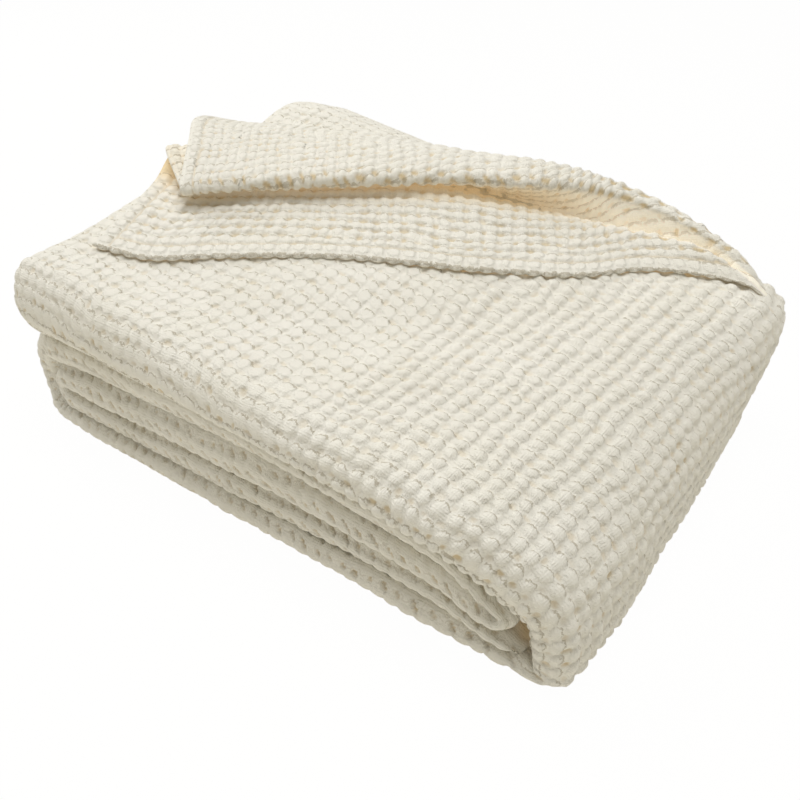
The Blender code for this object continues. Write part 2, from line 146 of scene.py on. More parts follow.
# One row per line across the flaps, from their left hems to the right back corner.
FLAP_EDGES = (
    # hem x, y, z, front fold x, y, z, back rim x, y, z, root x, y
    (-37.3, 2.7, 12.5, -35.2, 8.6, 14.9, -42.2, 16.4, 16.7, -40.6, 19.2),
    (-33.6, 3.9, 12.2, -33.7, 10.6, 14.9, -39.9, 18.2, 16.2, -38.8, 20.4),
    (-30.7, 6.1, 12.3, -32.0, 12.6, 14.9, -37.8, 19.6, 16.1, -37.2, 21.8),
    (-27.8, 8.3, 12.4, -29.6, 14.6, 15.0, -35.2, 21.0, 15.9, -35.2, 23.2),
    (-24.2, 10.9, 12.4, -27.0, 16.7, 15.1, -31.6, 22.8, 15.7, -31.8, 24.8),
    (-20.5, 13.3, 12.2, -24.0, 19.4, 15.1, -27.8, 24.3, 15.5, -28.2, 26.4),
    (-17.2, 15.4, 11.9, -21.2, 21.8, 15.0, -23.8, 26.0, 15.2, -24.2, 27.8),
    (-14.4, 17.9, 11.5, -18.2, 24.1, 14.8, -20.1, 27.9, 14.9, -20.2, 28.5),
    (-11.5, 20.5, 11.2, -15.4, 26.5, 14.5, -16.8, 28.9, 14.6, -16.4, 28.5),
    (-9.1, 24.0, 11.0, -12.6, 28.2, 13.9, -13.0, 29.2, 14.1, -12.6, 28.8),
    (-7.0, 25.5, 10.9, -9.5, 28.6, 13.25, -9.9, 29.3, 13.4, -9.6, 28.9),
    (-4.9, 26.5, 10.7, -6.5, 28.4, 12.45, -6.8, 29.0, 12.6, -6.6, 28.9),
    (-2.8, 27.0, 10.5, -3.9, 28.2, 11.45, -4.0, 28.5, 11.6, -4.1, 28.9),
    (-1.3, 27.2, 9.6, -1.6, 27.8, 9.8, -1.9, 28.2, 9.7, -2.1, 28.7),
)
# The same lines: the crest and the pocket of the lower flap are placed by their share of the way from
# hem to rim and their height; turn is the radius of the folds, overhang is one where the upper flap
# folds over the lower one, and thinning narrows the cloth where all of it runs into the corner.
FLAP_SECTIONS = (
    # crest at, crest z, pocket at, pocket z, turn, overhang, thinning
    (0.55, 13.9, 0.73, 15.4, 0.4, 1.0, 1.0),
    (0.5, 13.6, 0.75, 15.1, 0.4, 1.0, 1.0),
    (0.5, 13.6, 0.77, 15.0, 0.4, 1.0, 1.0),
    (0.5, 13.6, 0.79, 14.9, 0.4, 1.0, 1.0),
    (0.5, 13.6, 0.81, 14.8, 0.4, 1.0, 1.0),
    (0.52, 13.7, 0.84, 14.5, 0.38, 1.0, 1.0),
    (0.56, 13.5, 0.86, 13.6, 0.36, 0.85, 1.0),
    (0.6, 12.75, 0.87, 12.5, 0.34, 0.5, 1.0),
    (0.62, 12.25, 0.86, 11.9, 0.3, 0.2, 1.0),
    (0.58, 12.0, 0.8, 11.6, 0.26, 0.0, 0.9),
    (0.52, 11.95, 0.74, 11.4, 0.22, 0.0, 0.75),
    (0.46, 11.7, 0.66, 11.1, 0.18, 0.0, 0.6),
    (0.34, 11.0, 0.5, 10.8, 0.0, 0.0, 0.4),
    (0.24, 9.2, 0.44, 9.3, 0.0, 0.0, 0.3),
)

# ---------------------------------------------------------------- sizes of the weave
# One waffle cell is a centimetre across, so centimetres along the cloth count cells.
FOLD_STEP = 0.2
FACE_LINES = 126
FOLD_LINES = 26
GHOST_ROWS = 22
FLAP_LINES = 170
UNDER_LINES = 40
# Where the flap's under face shows, in cells from its hem.
UNDER_SHOWS = (11.6, 16.6)
# Places of the mesh lines in a cell, close together at the walls of the pit.
CELL_LINES = (0.0, 0.15, 0.27, 0.34, 0.5, 0.66, 0.73, 0.85)
# Rows at a free end of the cloth, counted from it.
END_ROWS = (0.0, 0.6, 1.2, 1.8)
PAD_HEIGHT = 0.14
PIT_DEPTH = 0.11
# A pad is round where the cloth is plump, and crisp where its outline is drawn sharp: a stronger bump and a
# painted shadow line along its far rim.
RUNS = ("third_end", "third", "inner_bend", "second", "right_bend", "first", "outer_bend", "bottom")
PLUMPNESS = {**dict.fromkeys(RUNS, 0.7), "outer_bend": 0.6, "foot": 1.0, "wrap": 1.2, "lid": 0.22, "nose": 0.3}
CRISPNESS = {**dict.fromkeys(RUNS, 0.4), "outer_bend": 0.5, "foot": 1.0, "wrap": 1.0, "lid": 1.0, "nose": 1.0}
FOLD_PLUMPNESS = 0.35
# Share of the painted pit shade on faces that look up; faces turned down or aside get all of it.
PIT_SHADE_ON_TOP = 0.3
# The hollow in the right bend, painted with warm shade and a painted glow: x, y, z and radius.
BEND_HOLLOW = (-2.2, 1.6, 1.9, 1.7)
HEM_START = 0.42
HEM_WIDTH = 1.05
HEM_SCALLOP = 0.22
HEM_ROUNDING = (60.0, 30.0, 0.0, -30.0, -60.0)
END_ROUNDING = (20.0, 40.0, 60.0, 75.0, 86.0)
# How far under the hem the lid lies, and how far in front of it the lid starts to rise to meet it.
HEM_REST = 0.32
HEM_RISE_WIDTH = 7.0
# Steps of the smooth lines between the flap's own rows and between the points of a row.
FLAP_ROW_STEPS = 24
FLAP_POINT_STEPS = 14
# Seeds, one for each use.
ROLL_WEAVE, FLAP_WEAVE, CROSS_HEM, UNDER_WEAVE = 1, 9, 10, 12
FINE_SWELL, BROAD_SWELL, LONG_CRINKLE, SHORT_CRINKLE = 31, 32, 33, 34


# ---------------------------------------------------------------- shape of the folds
def smooth_step(share):
    share = within(share)
    return share * share * (3.0 - 2.0 * share)


def smooth_curve(stations, values, where):
    """Curve through the given values that never swings past them."""
    stations = np.asarray(stations, float)
    values = np.asarray(values, float)
    where = np.clip(where, stations[0], stations[-1])
    step = np.diff(stations)
    rise = np.diff(values) / step
    slope = np.zeros(len(stations))
    slope[0] = rise[0]
    slope[-1] = rise[-1]
    for i in range(1, len(stations) - 1):
        if rise[i - 1] * rise[i] > 0.0:
            before = 2.0 * step[i] + step[i - 1]
            after = step[i] + 2.0 * step[i - 1]
            slope[i] = (before + after) / (before / rise[i - 1] + after / rise[i])
    i = np.clip(np.searchsorted(stations, where, side="right") - 1, 0, len(step) - 1)
    t = (where - stations[i]) / step[i]
    start = values[i] * (1.0 + 2.0 * t) * (1.0 - t) ** 2 + step[i] * slope[i] * t * (1.0 - t) ** 2
    end = values[i + 1] * t * t * (3.0 - 2.0 * t) + step[i] * slope[i + 1] * t * t * (t - 1.0)
    return start + end


def column(table, index):
    return [row[index] for row in table]


def blend(start, end, share):
    return start + (end - start) * share


def fade(share):
    """One at and below zero, nothing from one on."""
    return 1.0 - smooth_step(share)


def within(values):
    return np.clip(values, 0.0, 1.0)


def unit(vectors):
    return vectors / np.maximum(np.linalg.norm(vectors, axis=-1, keepdims=True), 1e-9)


def length_to(points):
    """How far along a line each of its points is."""
    return np.concatenate([[0.0], np.cumsum(np.linalg.norm(np.diff(points, axis=0), axis=1))])


def run_gap(index, x):
    """Height of the gap above run number index; zero is the ground."""
    if index == 0:
        return np.zeros_like(x)
    return smooth_curve(column(RUN_GAPS, 0), column(RUN_GAPS, index), x)


def gap_at(index, x):
    return float(run_gap(index, np.array([x]))[0])


def lid_shape(y):
    return [smooth_curve(column(LID_SHAPE, 0), column(LID_SHAPE, i), y) for i in range(1, 6)]


def shoulder_rise(x):
    """Slope of the lid toward the left, easing in at the shoulder."""
    away = (SHOULDER - x) / SHOULDER_SOFTNESS
    return LID_RISE * SHOULDER_SOFTNESS * np.logaddexp(0.0, away)


def lid_height(x, y):
    height, end, along, down, _ = lid_shape(y)
    share = within((x - SHOULDER) / (end - SHOULDER))
    fall = within(1.0 - share ** (2.0 / along)) ** (down / 2.0)
    return LID_FOOT + (height - LID_FOOT) * fall + shoulder_rise(x)


def settle(x, y, z):
    """Loft toward the back left, and lean of the right end toward the back."""
    share_x = fade((x - LOFT_LEFT) / LOFT_WIDTH)
    share_y = smooth_curve(column(LOFT_BY_DEPTH, 0), column(LOFT_BY_DEPTH, 1), y)
    lean = lid_shape(y)[4] * smooth_step((x - LEAN_START) / LEAN_LENGTH)
    lean = lean * within(1.0 - z / LEAN_HEIGHT)
    return np.stack([x - lean, y, z * (1.0 + LOFT * share_x * share_y)], axis=-1)


def wrap_outside(share, y):
    """Point of the wrap's outer face at a share of its length, for each depth."""
    height, end, along, down, _ = [values[:, None] for values in lid_shape(y)]
    angle = np.linspace(0.0, math.pi / 2.0, 161)[None]
    x = SHOULDER + (end - SHOULDER) * np.sin(angle) ** along
    z = LID_FOOT + (height - LID_FOOT) * np.cos(angle) ** down
    length = np.zeros_like(x)
    length[:, 1:] = np.cumsum(np.hypot(np.diff(x), np.diff(z)), axis=1)
    length = length / length[:, -1:]
    i = np.clip((length < share).sum(axis=1) - 1, 0, x.shape[1] - 2)
    row = np.arange(len(y))
    t = (share - length[row, i]) / (length[row, i + 1] - length[row, i])
    x = blend(x[row, i], x[row, i + 1], t)
    return x, blend(z[row, i], z[row, i + 1], t) + shoulder_rise(x)


class Cut:
    """One cut across the roll path: its two faces by depth, and its front fold."""

    def __init__(self, faces, front, bulge, middle=0.5):
        self.faces = faces
        self.front = front
        self.bulge = bulge
        self.middle = middle

    def place(self, zone, value):
        """Points of the cut: zone 0 is the outer face from back to front, 1 the fold, 2 the inner face."""
        fold_end = self.front + self.bulge
        angle = np.radians(90.0 - 180.0 * value)
        reach = np.where(angle < 0.0, self.middle, 1.0 - self.middle)
        back = PACK_BACK - BACK_ROUND
        zones = [zone == 0, zone == 1, zone == 2]
        in_fold = self.front + self.bulge * (1.0 - np.cos(angle))
        depth = np.select(zones, [blend(back, fold_end, value), in_fold, blend(fold_end, back, value)], back)
        across = np.select(zones, [1.0, self.middle + reach * np.sin(angle), 0.0], 0.5)
        # zones 3 and 4 go round the back edges of the two plies and into the slit between them
        turn = np.pi * within(value)
        inward = np.clip(value - 1.0, 0.0, None)
        edge = back + BACK_ROUND * np.sin(turn) - inward
        half = 0.25 - 0.5 * PLY_SLIT
        outer = 0.75 + 0.5 * PLY_SLIT + half * np.cos(turn)
        depth = np.where(zone >= 3, edge, depth)
        across = np.where(zone == 3, outer, across)
        across = np.where(zone == 4, 1.0 - outer, across)
        inner_x, inner_z, outer_x, outer_z = self.faces(depth)
        return settle(blend(inner_x, outer_x, across), depth, blend(inner_z, outer_z, across))


def faces_at(x, y, low, high):
    """Where a cut stands, and the bottom and the top of the cloth between two gaps; gap 5 is the lid."""
    station = np.full_like(y, x)
    bottom = run_gap(low, station) + (LAYER_GAP / 2.0 if low else 0.0)
    top = lid_height(station, y) if high == 5 else run_gap(high, station) - LAYER_GAP / 2.0
    return station, bottom, top


def run_cut(low, high, rising, fold):
    """Cut in a run; fold is the front edge and the bulge of its fold, at its left and at its right end."""
    def at(x):
        def faces(y):
            station, bottom, top = faces_at(x, y, low, high)
            return (station, bottom, station, top) if rising else (station, top, station, bottom)
        right = smooth_step((x + 9.0) / 6.0)
        return Cut(faces, blend(fold[0], fold[2], right), blend(fold[1], fold[3], right))
    return at


def end_cut(low, high):
    """Softly closed free end of a run; the station is an angle."""
    def at(angle):
        x = FREE_END + FREE_END_ROUND * math.sin(angle)
        fullness = math.cos(angle)

        def faces(y):
            station, bottom, top = faces_at(x, y, low, high)
            middle = 0.5 * (bottom + top)
            return station, blend(middle, bottom, fullness), station, blend(middle, top, fullness)
        return Cut(faces, THIRD_FOLD[0] + 0.3 * (1.0 - fullness), THIRD_FOLD[1] - 0.2 * (1.0 - fullness))
    return at


def bend_cut(centre, side, first, second, low_fold, high_fold, draw):
    """Cut in a bend; first and second are (reach, middle height, half height) of its two faces, and
    the folds are the front edge and bulge below and above; draw is how far it draws back between."""
    def at(angle):
        def faces(y):
            points = []
            for reach, middle, half in (first, second):
                points.append(np.full_like(y, centre + side * reach * math.cos(angle)))
                points.append(np.full_like(y, middle + half * math.sin(angle)))
            return tuple(points)
        share = 0.5 + 0.5 * math.sin(angle)
        front = blend(low_fold[0], high_fold[0], share) + draw * math.cos(angle) ** 2
        return Cut(faces, front, blend(low_fold[1], high_fold[1], share))
    return at


def foot_cut(angle):
    def faces(y):
        end = lid_shape(y)[1]
        share = angle / (math.pi / 2.0) + 1.0
        inner_x = np.full_like(y, FOOT_INSIDE)
        inner_z = np.full_like(y, FOOT_THICKNESS + 0.05 * share)
        outer_x = end - LID_FOOT + LID_FOOT * math.cos(angle)
        outer_z = np.full_like(y, LID_FOOT + LID_FOOT * math.sin(angle))
        return inner_x, inner_z, outer_x, outer_z
    return Cut(faces, *FOOT_FOLD)


def wrap_cut(share):
    def faces(y):
        inner_x = np.full_like(y, np.interp(share, column(WRAP_INSIDE, 0), column(WRAP_INSIDE, 1)))
        inner_z = np.full_like(y, np.interp(share, column(WRAP_INSIDE, 0), column(WRAP_INSIDE, 2)))
        outer_x, outer_z = wrap_outside(share, y)
        return inner_x, inner_z, outer_x, outer_z
    narrowing = smooth_step((share - 0.35) / 0.65)
    return Cut(faces, PACK_FRONT + 1.2 * narrowing, LID_BULGE - 1.1 * narrowing, LID_MIDDLE + 0.12 * share)


def lid_cut(x):
    def faces(y):
        station, bottom, top = faces_at(x, y, 4, 5)
        return station, bottom, station, top
    return Cut(faces, PACK_FRONT, LID_BULGE, LID_MIDDLE)


def nose_cut(angle):
    """Rounded left end of the lid."""
    share = math.sin(angle) ** (2.0 / 2.4)
    closing = max(math.cos(angle), 0.0) ** (2.0 / 2.4)
    x = LEFT_BEND - LID_NOSE * share

    def faces(y):
        station, bottom, top = faces_at(x, y, 4, 5)
        middle = 0.55 * bottom + 0.45 * top
        return station, blend(middle, bottom, closing), station, blend(middle, top, closing)
    return Cut(faces, PACK_FRONT + 1.7 * share ** 3, LID_BULGE - 0.6 * share, LID_MIDDLE + 0.12 * share)


def roll_parts():
    """Stretches of the roll path in order: name, what makes a cut, first and last station, and the
    places round the loop on which the stretch is measured."""
    quarter = math.pi / 2.0
    ground_gap, third_gap, second_gap, first_gap = [gap_at(i, LEFT_BEND) for i in (1, 2, 3, 4)]
    low, middle, high = [gap_at(i, RIGHT_BEND) for i in (2, 3, 4)]
    bend_middle = (ground_gap + second_gap) / 2.0
    inner_outside = (INNER_BEND, bend_middle, (second_gap - ground_gap - LAYER_GAP) / 2.0)
    inner_inside = (BEND_SLIT, third_gap, LAYER_GAP / 2.0)
    right_inside = (BEND_SLIT, middle, LAYER_GAP / 2.0)
    right_outside = (RIGHT_NOSE, (low + high) / 2.0, (high - low - LAYER_GAP) / 2.0)
    outer_inside = (OUTER_BEND_INSIDE, bend_middle, (second_gap - ground_gap + LAYER_GAP) / 2.0)
    half = (first_gap - LAYER_GAP / 2.0) / 2.0
    outer_outside = (OUTER_BEND, half, half)
    third, second, first, bottom, foot = THIRD_FOLD, SECOND_FOLD, FIRST_FOLD, BOTTOM_FOLD, FOOT_FOLD
    fold_line = (1, (0.5,))
    outer_lines = (0, (0.3, 0.6, 0.9))
    return (
        ("third_end", end_cut(1, 2), quarter, 0.0, fold_line),
        ("third", run_cut(1, 2, True, third + third), FREE_END, LEFT_BEND, fold_line),
        ("inner_bend", bend_cut(LEFT_BEND, -1, inner_outside, inner_inside, third, second, 0.15),
         -quarter, quarter, fold_line),
        ("second", run_cut(2, 3, False, second + second), LEFT_BEND, RIGHT_BEND, fold_line),
        ("right_bend", bend_cut(RIGHT_BEND, 1, right_inside, right_outside, second, first, 0.1),
         -quarter, quarter, fold_line),
        ("first", run_cut(3, 4, True, first + first), RIGHT_BEND, LEFT_BEND, fold_line),
        ("outer_bend", bend_cut(LEFT_BEND, -1, outer_inside, outer_outside, bottom, first, 0.9),
         quarter, -quarter, outer_lines),
        ("bottom", run_cut(0, 1, False, bottom + foot), LEFT_BEND, -2.6, fold_line),
        ("foot", foot_cut, -quarter, 0.0, outer_lines),
        ("wrap", wrap_cut, 1.0, 0.0, outer_lines),
        ("lid", lid_cut, SHOULDER, LEFT_BEND, outer_lines),
        ("nose", nose_cut, 0.0, quarter, outer_lines),
    )


def roll_rows(step):
    """Cuts at even steps along the whole roll, their distance along it, and the rows of each stretch."""
    cuts, along, rows = [], [0.0], {}
    for name, make, first, last, (zone, values) in roll_parts():
        stations = np.linspace(first, last, 120)
        lines = [make(station).place(np.full(len(values), zone), np.array(values)) for station in stations]
        hop = np.linalg.norm(np.diff(np.array(lines), axis=0), axis=2).mean(axis=1)
        length = np.concatenate([[0.0], np.cumsum(hop)])
        count = max(int(round(length[-1] / step)), 2)
        places = np.linspace(0.0, length[-1], count + 1)
        start = len(cuts)
        for station in np.interp(places, length, stations)[:-1]:
            cuts.append(make(float(station)))
        along.extend(along[-1] + places[1:])
        rows[name] = (start, len(cuts))
    cuts.append(make(float(last)))
    return cuts, np.array(along), rows


def even_line(points, count):
    """The same line with its points at even steps, their distance along it, and their old place in it."""
    length = length_to(points)
    along = np.linspace(0.0, length[-1], count)
    points = np.stack([np.interp(along, length, points[:, i]) for i in range(3)], axis=1)
    return points, along, np.interp(along, length, np.arange(len(length)))


def relax(grid, rounds, axis):
    """Rounds off small kinks along one direction and keeps the ends."""
    grid = np.moveaxis(grid.copy(), axis, 0)
    for _ in range(rounds):
        grid[1:-1] = 0.25 * grid[:-2] + 0.5 * grid[1:-1] + 0.25 * grid[2:]
    return np.moveaxis(grid, 0, axis)


# ---------------------------------------------------------------- the turned back corner
def lid_top(point):
    x = np.array([point[0]])
    y = np.array([point[1]])
    return float(settle(x, y, lid_height(x, y))[0, 2])


def flap_lines():
    """Middle line of the flap cloth for each row: hem, crest, pocket, front fold, rim, root."""
    lines = []
    up = np.array([0.0, 0.0, 1.0])
    for edges, section in zip(FLAP_EDGES, FLAP_SECTIONS):
        hem = np.array(edges[0:3])
        fold = np.array(edges[3:6])
        rim = np.array(edges[6:9])
        root = np.array([edges[9], edges[10], 0.0])
        root[2] = lid_top(root) - ROOT_DEPTH
        crest_at, crest_z, pocket_at, pocket_z, turn, overhang, _ = section
        across = (rim - hem) * (1.0, 1.0, 0.0)
        back = across / np.linalg.norm(across)
        over = (rim - fold) * (1.0, 1.0, 0.0)
        width = float(np.linalg.norm(over))
        over = over / width
        crest = hem + across * crest_at
        crest[2] = crest_z
        pocket = hem + across * pocket_at
        pocket[2] = pocket_z
        dip = pocket - back * blend(turn, 0.6, overhang) - up * turn
        lower = [hem, 0.5 * (hem + crest), crest, dip]
        if overhang > 0.0:
            for point in lower:
                point[2] = max(point[2], lid_top(point) + FLAP_CLEARANCE)
        pocket[2] = max(pocket[2], dip[2] + turn)
        reach = min(0.8, 0.45 * width)
        tail = [
            rim,
            0.5 * (rim + root) + over * 0.5 * min(1.0, width) + up * 0.25 * (rim[2] - root[2]),
            root,
        ]
        if turn == 0.0:
            rise = [blend(hem, rim, share) for share in np.linspace(0.0, 0.75, 10)]
            lines.append(np.array(rise + tail))
            continue
        points = lower + [
            pocket + back * turn,
            pocket + back * blend(1.2 * turn, -0.6, overhang) + up * turn * blend(1.6, 1.0, overhang),
            fold + over * blend(0.4 * turn, reach, overhang) - up * turn * blend(1.5, 1.0, overhang),
            fold,
            fold + over * reach + up * turn * blend(0.7, 1.0, overhang),
            0.5 * (fold + rim) + over * 0.1 * width + up * turn * blend(0.9, 1.4, overhang),
        ]
        lines.append(np.array(points + tail))
    return np.array(lines)


def spline(points, steps):
    """Smooth line through the points, with the same number of steps in each span."""
    count = len(points)
    knots = np.concatenate([[0.0], np.cumsum(np.linalg.norm(np.diff(points, axis=0), axis=1) ** 0.6)])
    slope = np.zeros_like(points)
    for i in range(count):
        a = max(i - 1, 0)
        b = min(i + 1, count - 1)
        slope[i] = (points[b] - points[a]) / (knots[b] - knots[a])
    t = np.arange(steps)[None, :, None] / steps
    width = np.diff(knots)[:, None, None]
    near, far = points[:-1, None], points[1:, None]
    out = near * (1.0 + 2.0 * t) * (1.0 - t) ** 2 + slope[:-1, None] * width * t * (1.0 - t) ** 2
    out = out + far * t * t * (3.0 - 2.0 * t) + slope[1:, None] * width * t * t * (t - 1.0)
    return np.concatenate([out.reshape(-1, points.shape[1]), points[-1:]])


# ---------------------------------------------------------------- the weave
def hash_of(i, j, seed):
    """A number from 0 to 1 for each cell, the same each time."""
    mixed = np.sin(i * 127.1 + j * 311.7 + seed * 74.7) * 43758.5453
    return mixed - np.floor(mixed)


def soft_noise(u, v, scale, seed):
    """Smooth unevenness from -1 to 1, about scale centimetres across."""
    u, v = u / scale, v / scale
    i, j = np.floor(u), np.floor(v)
    a, b = smooth_step(u - i), smooth_step(v - j)
    near = blend(hash_of(i, j, seed), hash_of(i + 1, j, seed), a)
    far = blend(hash_of(i, j + 1, seed), hash_of(i + 1, j + 1, seed), a)
    return 2.0 * blend(near, far, b) - 1.0


def wander(u, v, seed, loose=1.0):
    """The rows of cells don't run quite straight or even, and no two pads have quite the same outline."""
    shifts = []
    for first in (seed, seed + 1):
        shift = 0.12 * soft_noise(u, v, 1.3, first + 4) + 0.2 * soft_noise(u, v, 2.9, first)
        shifts.append(shift + 0.28 * soft_noise(u, v, 8.0, first + 2))
    return u + shifts[0] * loose, v + shifts[1] * loose


def waffle(u, v, seed, plump, opened, narrowing=0.4, slant=0.7, lying=0.0):
    """Height of the cells over the cloth in centimetres, and how much painted shade each place gets in its pit.

    A plump place has round pads, a flat one has broad pads with small sharp pits between them.
    Opened cells, as round a tight fold, have their pits pulled out into slits, and lying ones have
    theirs pulled along the hem."""
    i, j = np.round(u), np.round(v)
    size = hash_of(i, j, seed)
    across = np.abs(u - i) * (0.95 + 0.2 * hash_of(i, j, seed + 11))
    along = np.abs(v - j) * (0.95 + 0.2 * hash_of(i, j, seed + 12))
    round_reach = (across ** 2.4 + along ** 2.4) ** (1.0 / 2.4)
    flat_reach = (across ** 1.5 + along ** 1.5) ** (1.0 / 1.5)
    popped = smooth_step((plump - 0.3) / 0.7)
    round_pad = fade((round_reach - 0.2) / (0.22 + 0.1 * size))
    round_pad = round_pad * (1.0 - 0.9 * round_reach ** 2)
    pad = blend(fade((flat_reach - 0.36) / 0.4), round_pad, popped)
    m, n = np.floor(u), np.floor(v)
    open_pit = hash_of(m, n, seed + 20)
    x = u - m - 0.5 + 0.16 * (hash_of(m, n, seed + 21) - 0.5)
    y = v - n - 0.5 + 0.16 * (hash_of(m, n, seed + 22) - 0.5)
    stretch = 0.7 + 0.6 * hash_of(m, n, seed + 23)
    slit = within(1.5 * opened)
    x = x + slant * slit * y
    radius = 0.18 + 0.09 * open_pit
    wide = radius * stretch * (1.0 - narrowing * slit + 0.5 * lying)
    long = radius / stretch * (1.0 + (0.5 - narrowing) * slit)
    hole = np.sqrt((x / wide) ** 2 + (y / long) ** 2)
    pit = fade((hole - 0.8) / 0.35)
    depth = (0.5 + 0.6 * open_pit) * (1.0 + 0.5 * slit + 0.5 * lying)
    height = PAD_HEIGHT * plump * (0.75 + 0.5 * size) * pad - PIT_DEPTH * depth * pit
    # painted shade in the pits: more where they open into slits or lie open along the hem, more in some pits
    # than in others
    pit_shade = within(1.3 * hash_of(m, n, seed + 24) - 0.2 + slit + 0.6 * lying)
    return height, fade((hole - 0.6) / 0.5) * pit_shade


def hem_pads(u, v, seed):
    """The square pads along a hem, as for waffle; v is zero along their middle."""
    i = np.round(u)
    reach = (np.abs(u - i) ** 4 + np.abs(v) ** 4) ** 0.25
    plump = hash_of(i, i * 0.0, seed)
    pad = fade((reach - 0.3) / 0.16)
    seam = fade((np.abs(v - 0.55) - 0.03) / 0.09)
    # the second value is painted shade in the groove of the stitched seam
    return 0.12 * pad + 0.03 * plump - 0.09 * seam - 0.03, 0.5 * seam


def opened_by(grid, normal):
    """How far the cells are opened by a tight outward fold, from -1 to 1."""
    turned = np.gradient(normal, axis=1)
    moved = np.gradient(grid, axis=1)
    length = np.maximum(np.linalg.norm(moved, axis=2), 1e-6)
    return np.clip((turned * moved).sum(axis=2) / length ** 2 / 1.6, -1.0, 1.0)


def normals_of(grid):
    return unit(np.cross(np.gradient(grid, axis=0), np.gradient(grid, axis=1)))


def cell_size(grid, u, v):
    """How wide a cell is on the surface, in each direction, against its flat size."""
    def speed(axis, coordinate):
        moved = np.linalg.norm(np.gradient(grid, axis=axis), axis=2)
        return moved / np.maximum(np.abs(np.gradient(coordinate, axis=axis)), 1e-6)
    return speed(0, u), speed(1, v)


def look_up(fields, a, b):
    """Values of a grid between its points, at row numbers a and line numbers b, along smooth curves."""
    rows, lines = fields.shape[:2]
    i = np.clip(np.floor(a).astype(int), 0, rows - 2)
    j = np.clip(np.floor(b).astype(int), 0, lines - 2)

    def weights(x):
        return ((-0.5 + x - 0.5 * x * x) * x, 1.0 + (-2.5 + 1.5 * x) * x * x,
                (0.5 + 2.0 * x - 1.5 * x * x) * x, (-0.5 + 0.5 * x) * x * x)

    out = 0.0
    for row, row_weight in zip((-1, 0, 1, 2), weights(a - i)):
        for line, line_weight in zip((-1, 0, 1, 2), weights(b - j)):
            near = fields[np.clip(i + row, 0, rows - 1), np.clip(j + line, 0, lines - 1)]
            out = out + (row_weight * line_weight)[..., None] * near
    return out


def cell_lines(first, last):
    """Lines of the grid through the cells between two places."""
    cells = np.arange(math.floor(first), math.ceil(last) + 1)
    places = (cells[:, None] + np.array(CELL_LINES)[None]).ravel()
    return [(place, False) for place in places[(places > first) & (places < last)]]


def held_lines(places):
    """Lines that keep to the folds instead of the weave."""
    return [(place, True) for place in places]


def follow_weave(u, v, rows, lines):
    """Row and line numbers on the folds where the given lines of the weave cross."""
    want_u, row_held = [np.array(column(rows, i))[:, None] for i in (0, 1)]
    want_v, line_held = [np.array(column(lines, i))[None] for i in (0, 1)]
    middle = u.shape[1] // 2
    a = np.where(row_held, want_u, np.interp(want_u, u[:, middle], np.arange(u.shape[0])))
    b = np.where(line_held, want_v, np.interp(want_v, v.mean(axis=0), np.arange(u.shape[1])))
    a, b = [np.broadcast_to(places, (len(rows), len(lines))).copy() for places in (a, b)]
    fields = np.stack([u, v, *np.gradient(u), *np.gradient(v)], axis=-1)
    for _ in range(9):
        at = look_up(fields, a, b)
        off_u = np.where(row_held, 0.0, want_u - at[..., 0])
        off_v = np.where(line_held, 0.0, want_v - at[..., 1])
        u_by_a, u_by_b = np.where(row_held, 1.0, at[..., 2]), np.where(row_held, 0.0, at[..., 3])
        v_by_a, v_by_b = np.where(line_held, 0.0, at[..., 4]), np.where(line_held, 1.0, at[..., 5])
        scale = np.maximum(u_by_a * v_by_b - u_by_b * v_by_a, 1e-3)
        a = np.clip(a + np.clip((v_by_b * off_u - u_by_b * off_v) / scale, -3.0, 3.0), 0.0, u.shape[0] - 1)
        b = np.clip(b + np.clip((u_by_a * off_v - v_by_a * off_u) / scale, -3.0, 3.0), 0.0, u.shape[1] - 1)
    return a, b


def zip_lines(first, first_at, second, second_at):
    """Triangles between two lines of points that run side by side, given how far along each point is."""
    faces, i, j = [], 0, 0
    while i < len(first) - 1 or j < len(second) - 1:
        step_first = j == len(second) - 1 or (i < len(first) - 1 and first_at[i + 1] < second_at[j + 1])
        if step_first:
            faces.append([first[i], second[j], first[i + 1]])
            i += 1
        else:
            faces.append([first[i], second[j], second[j + 1]])
            j += 1
    return faces


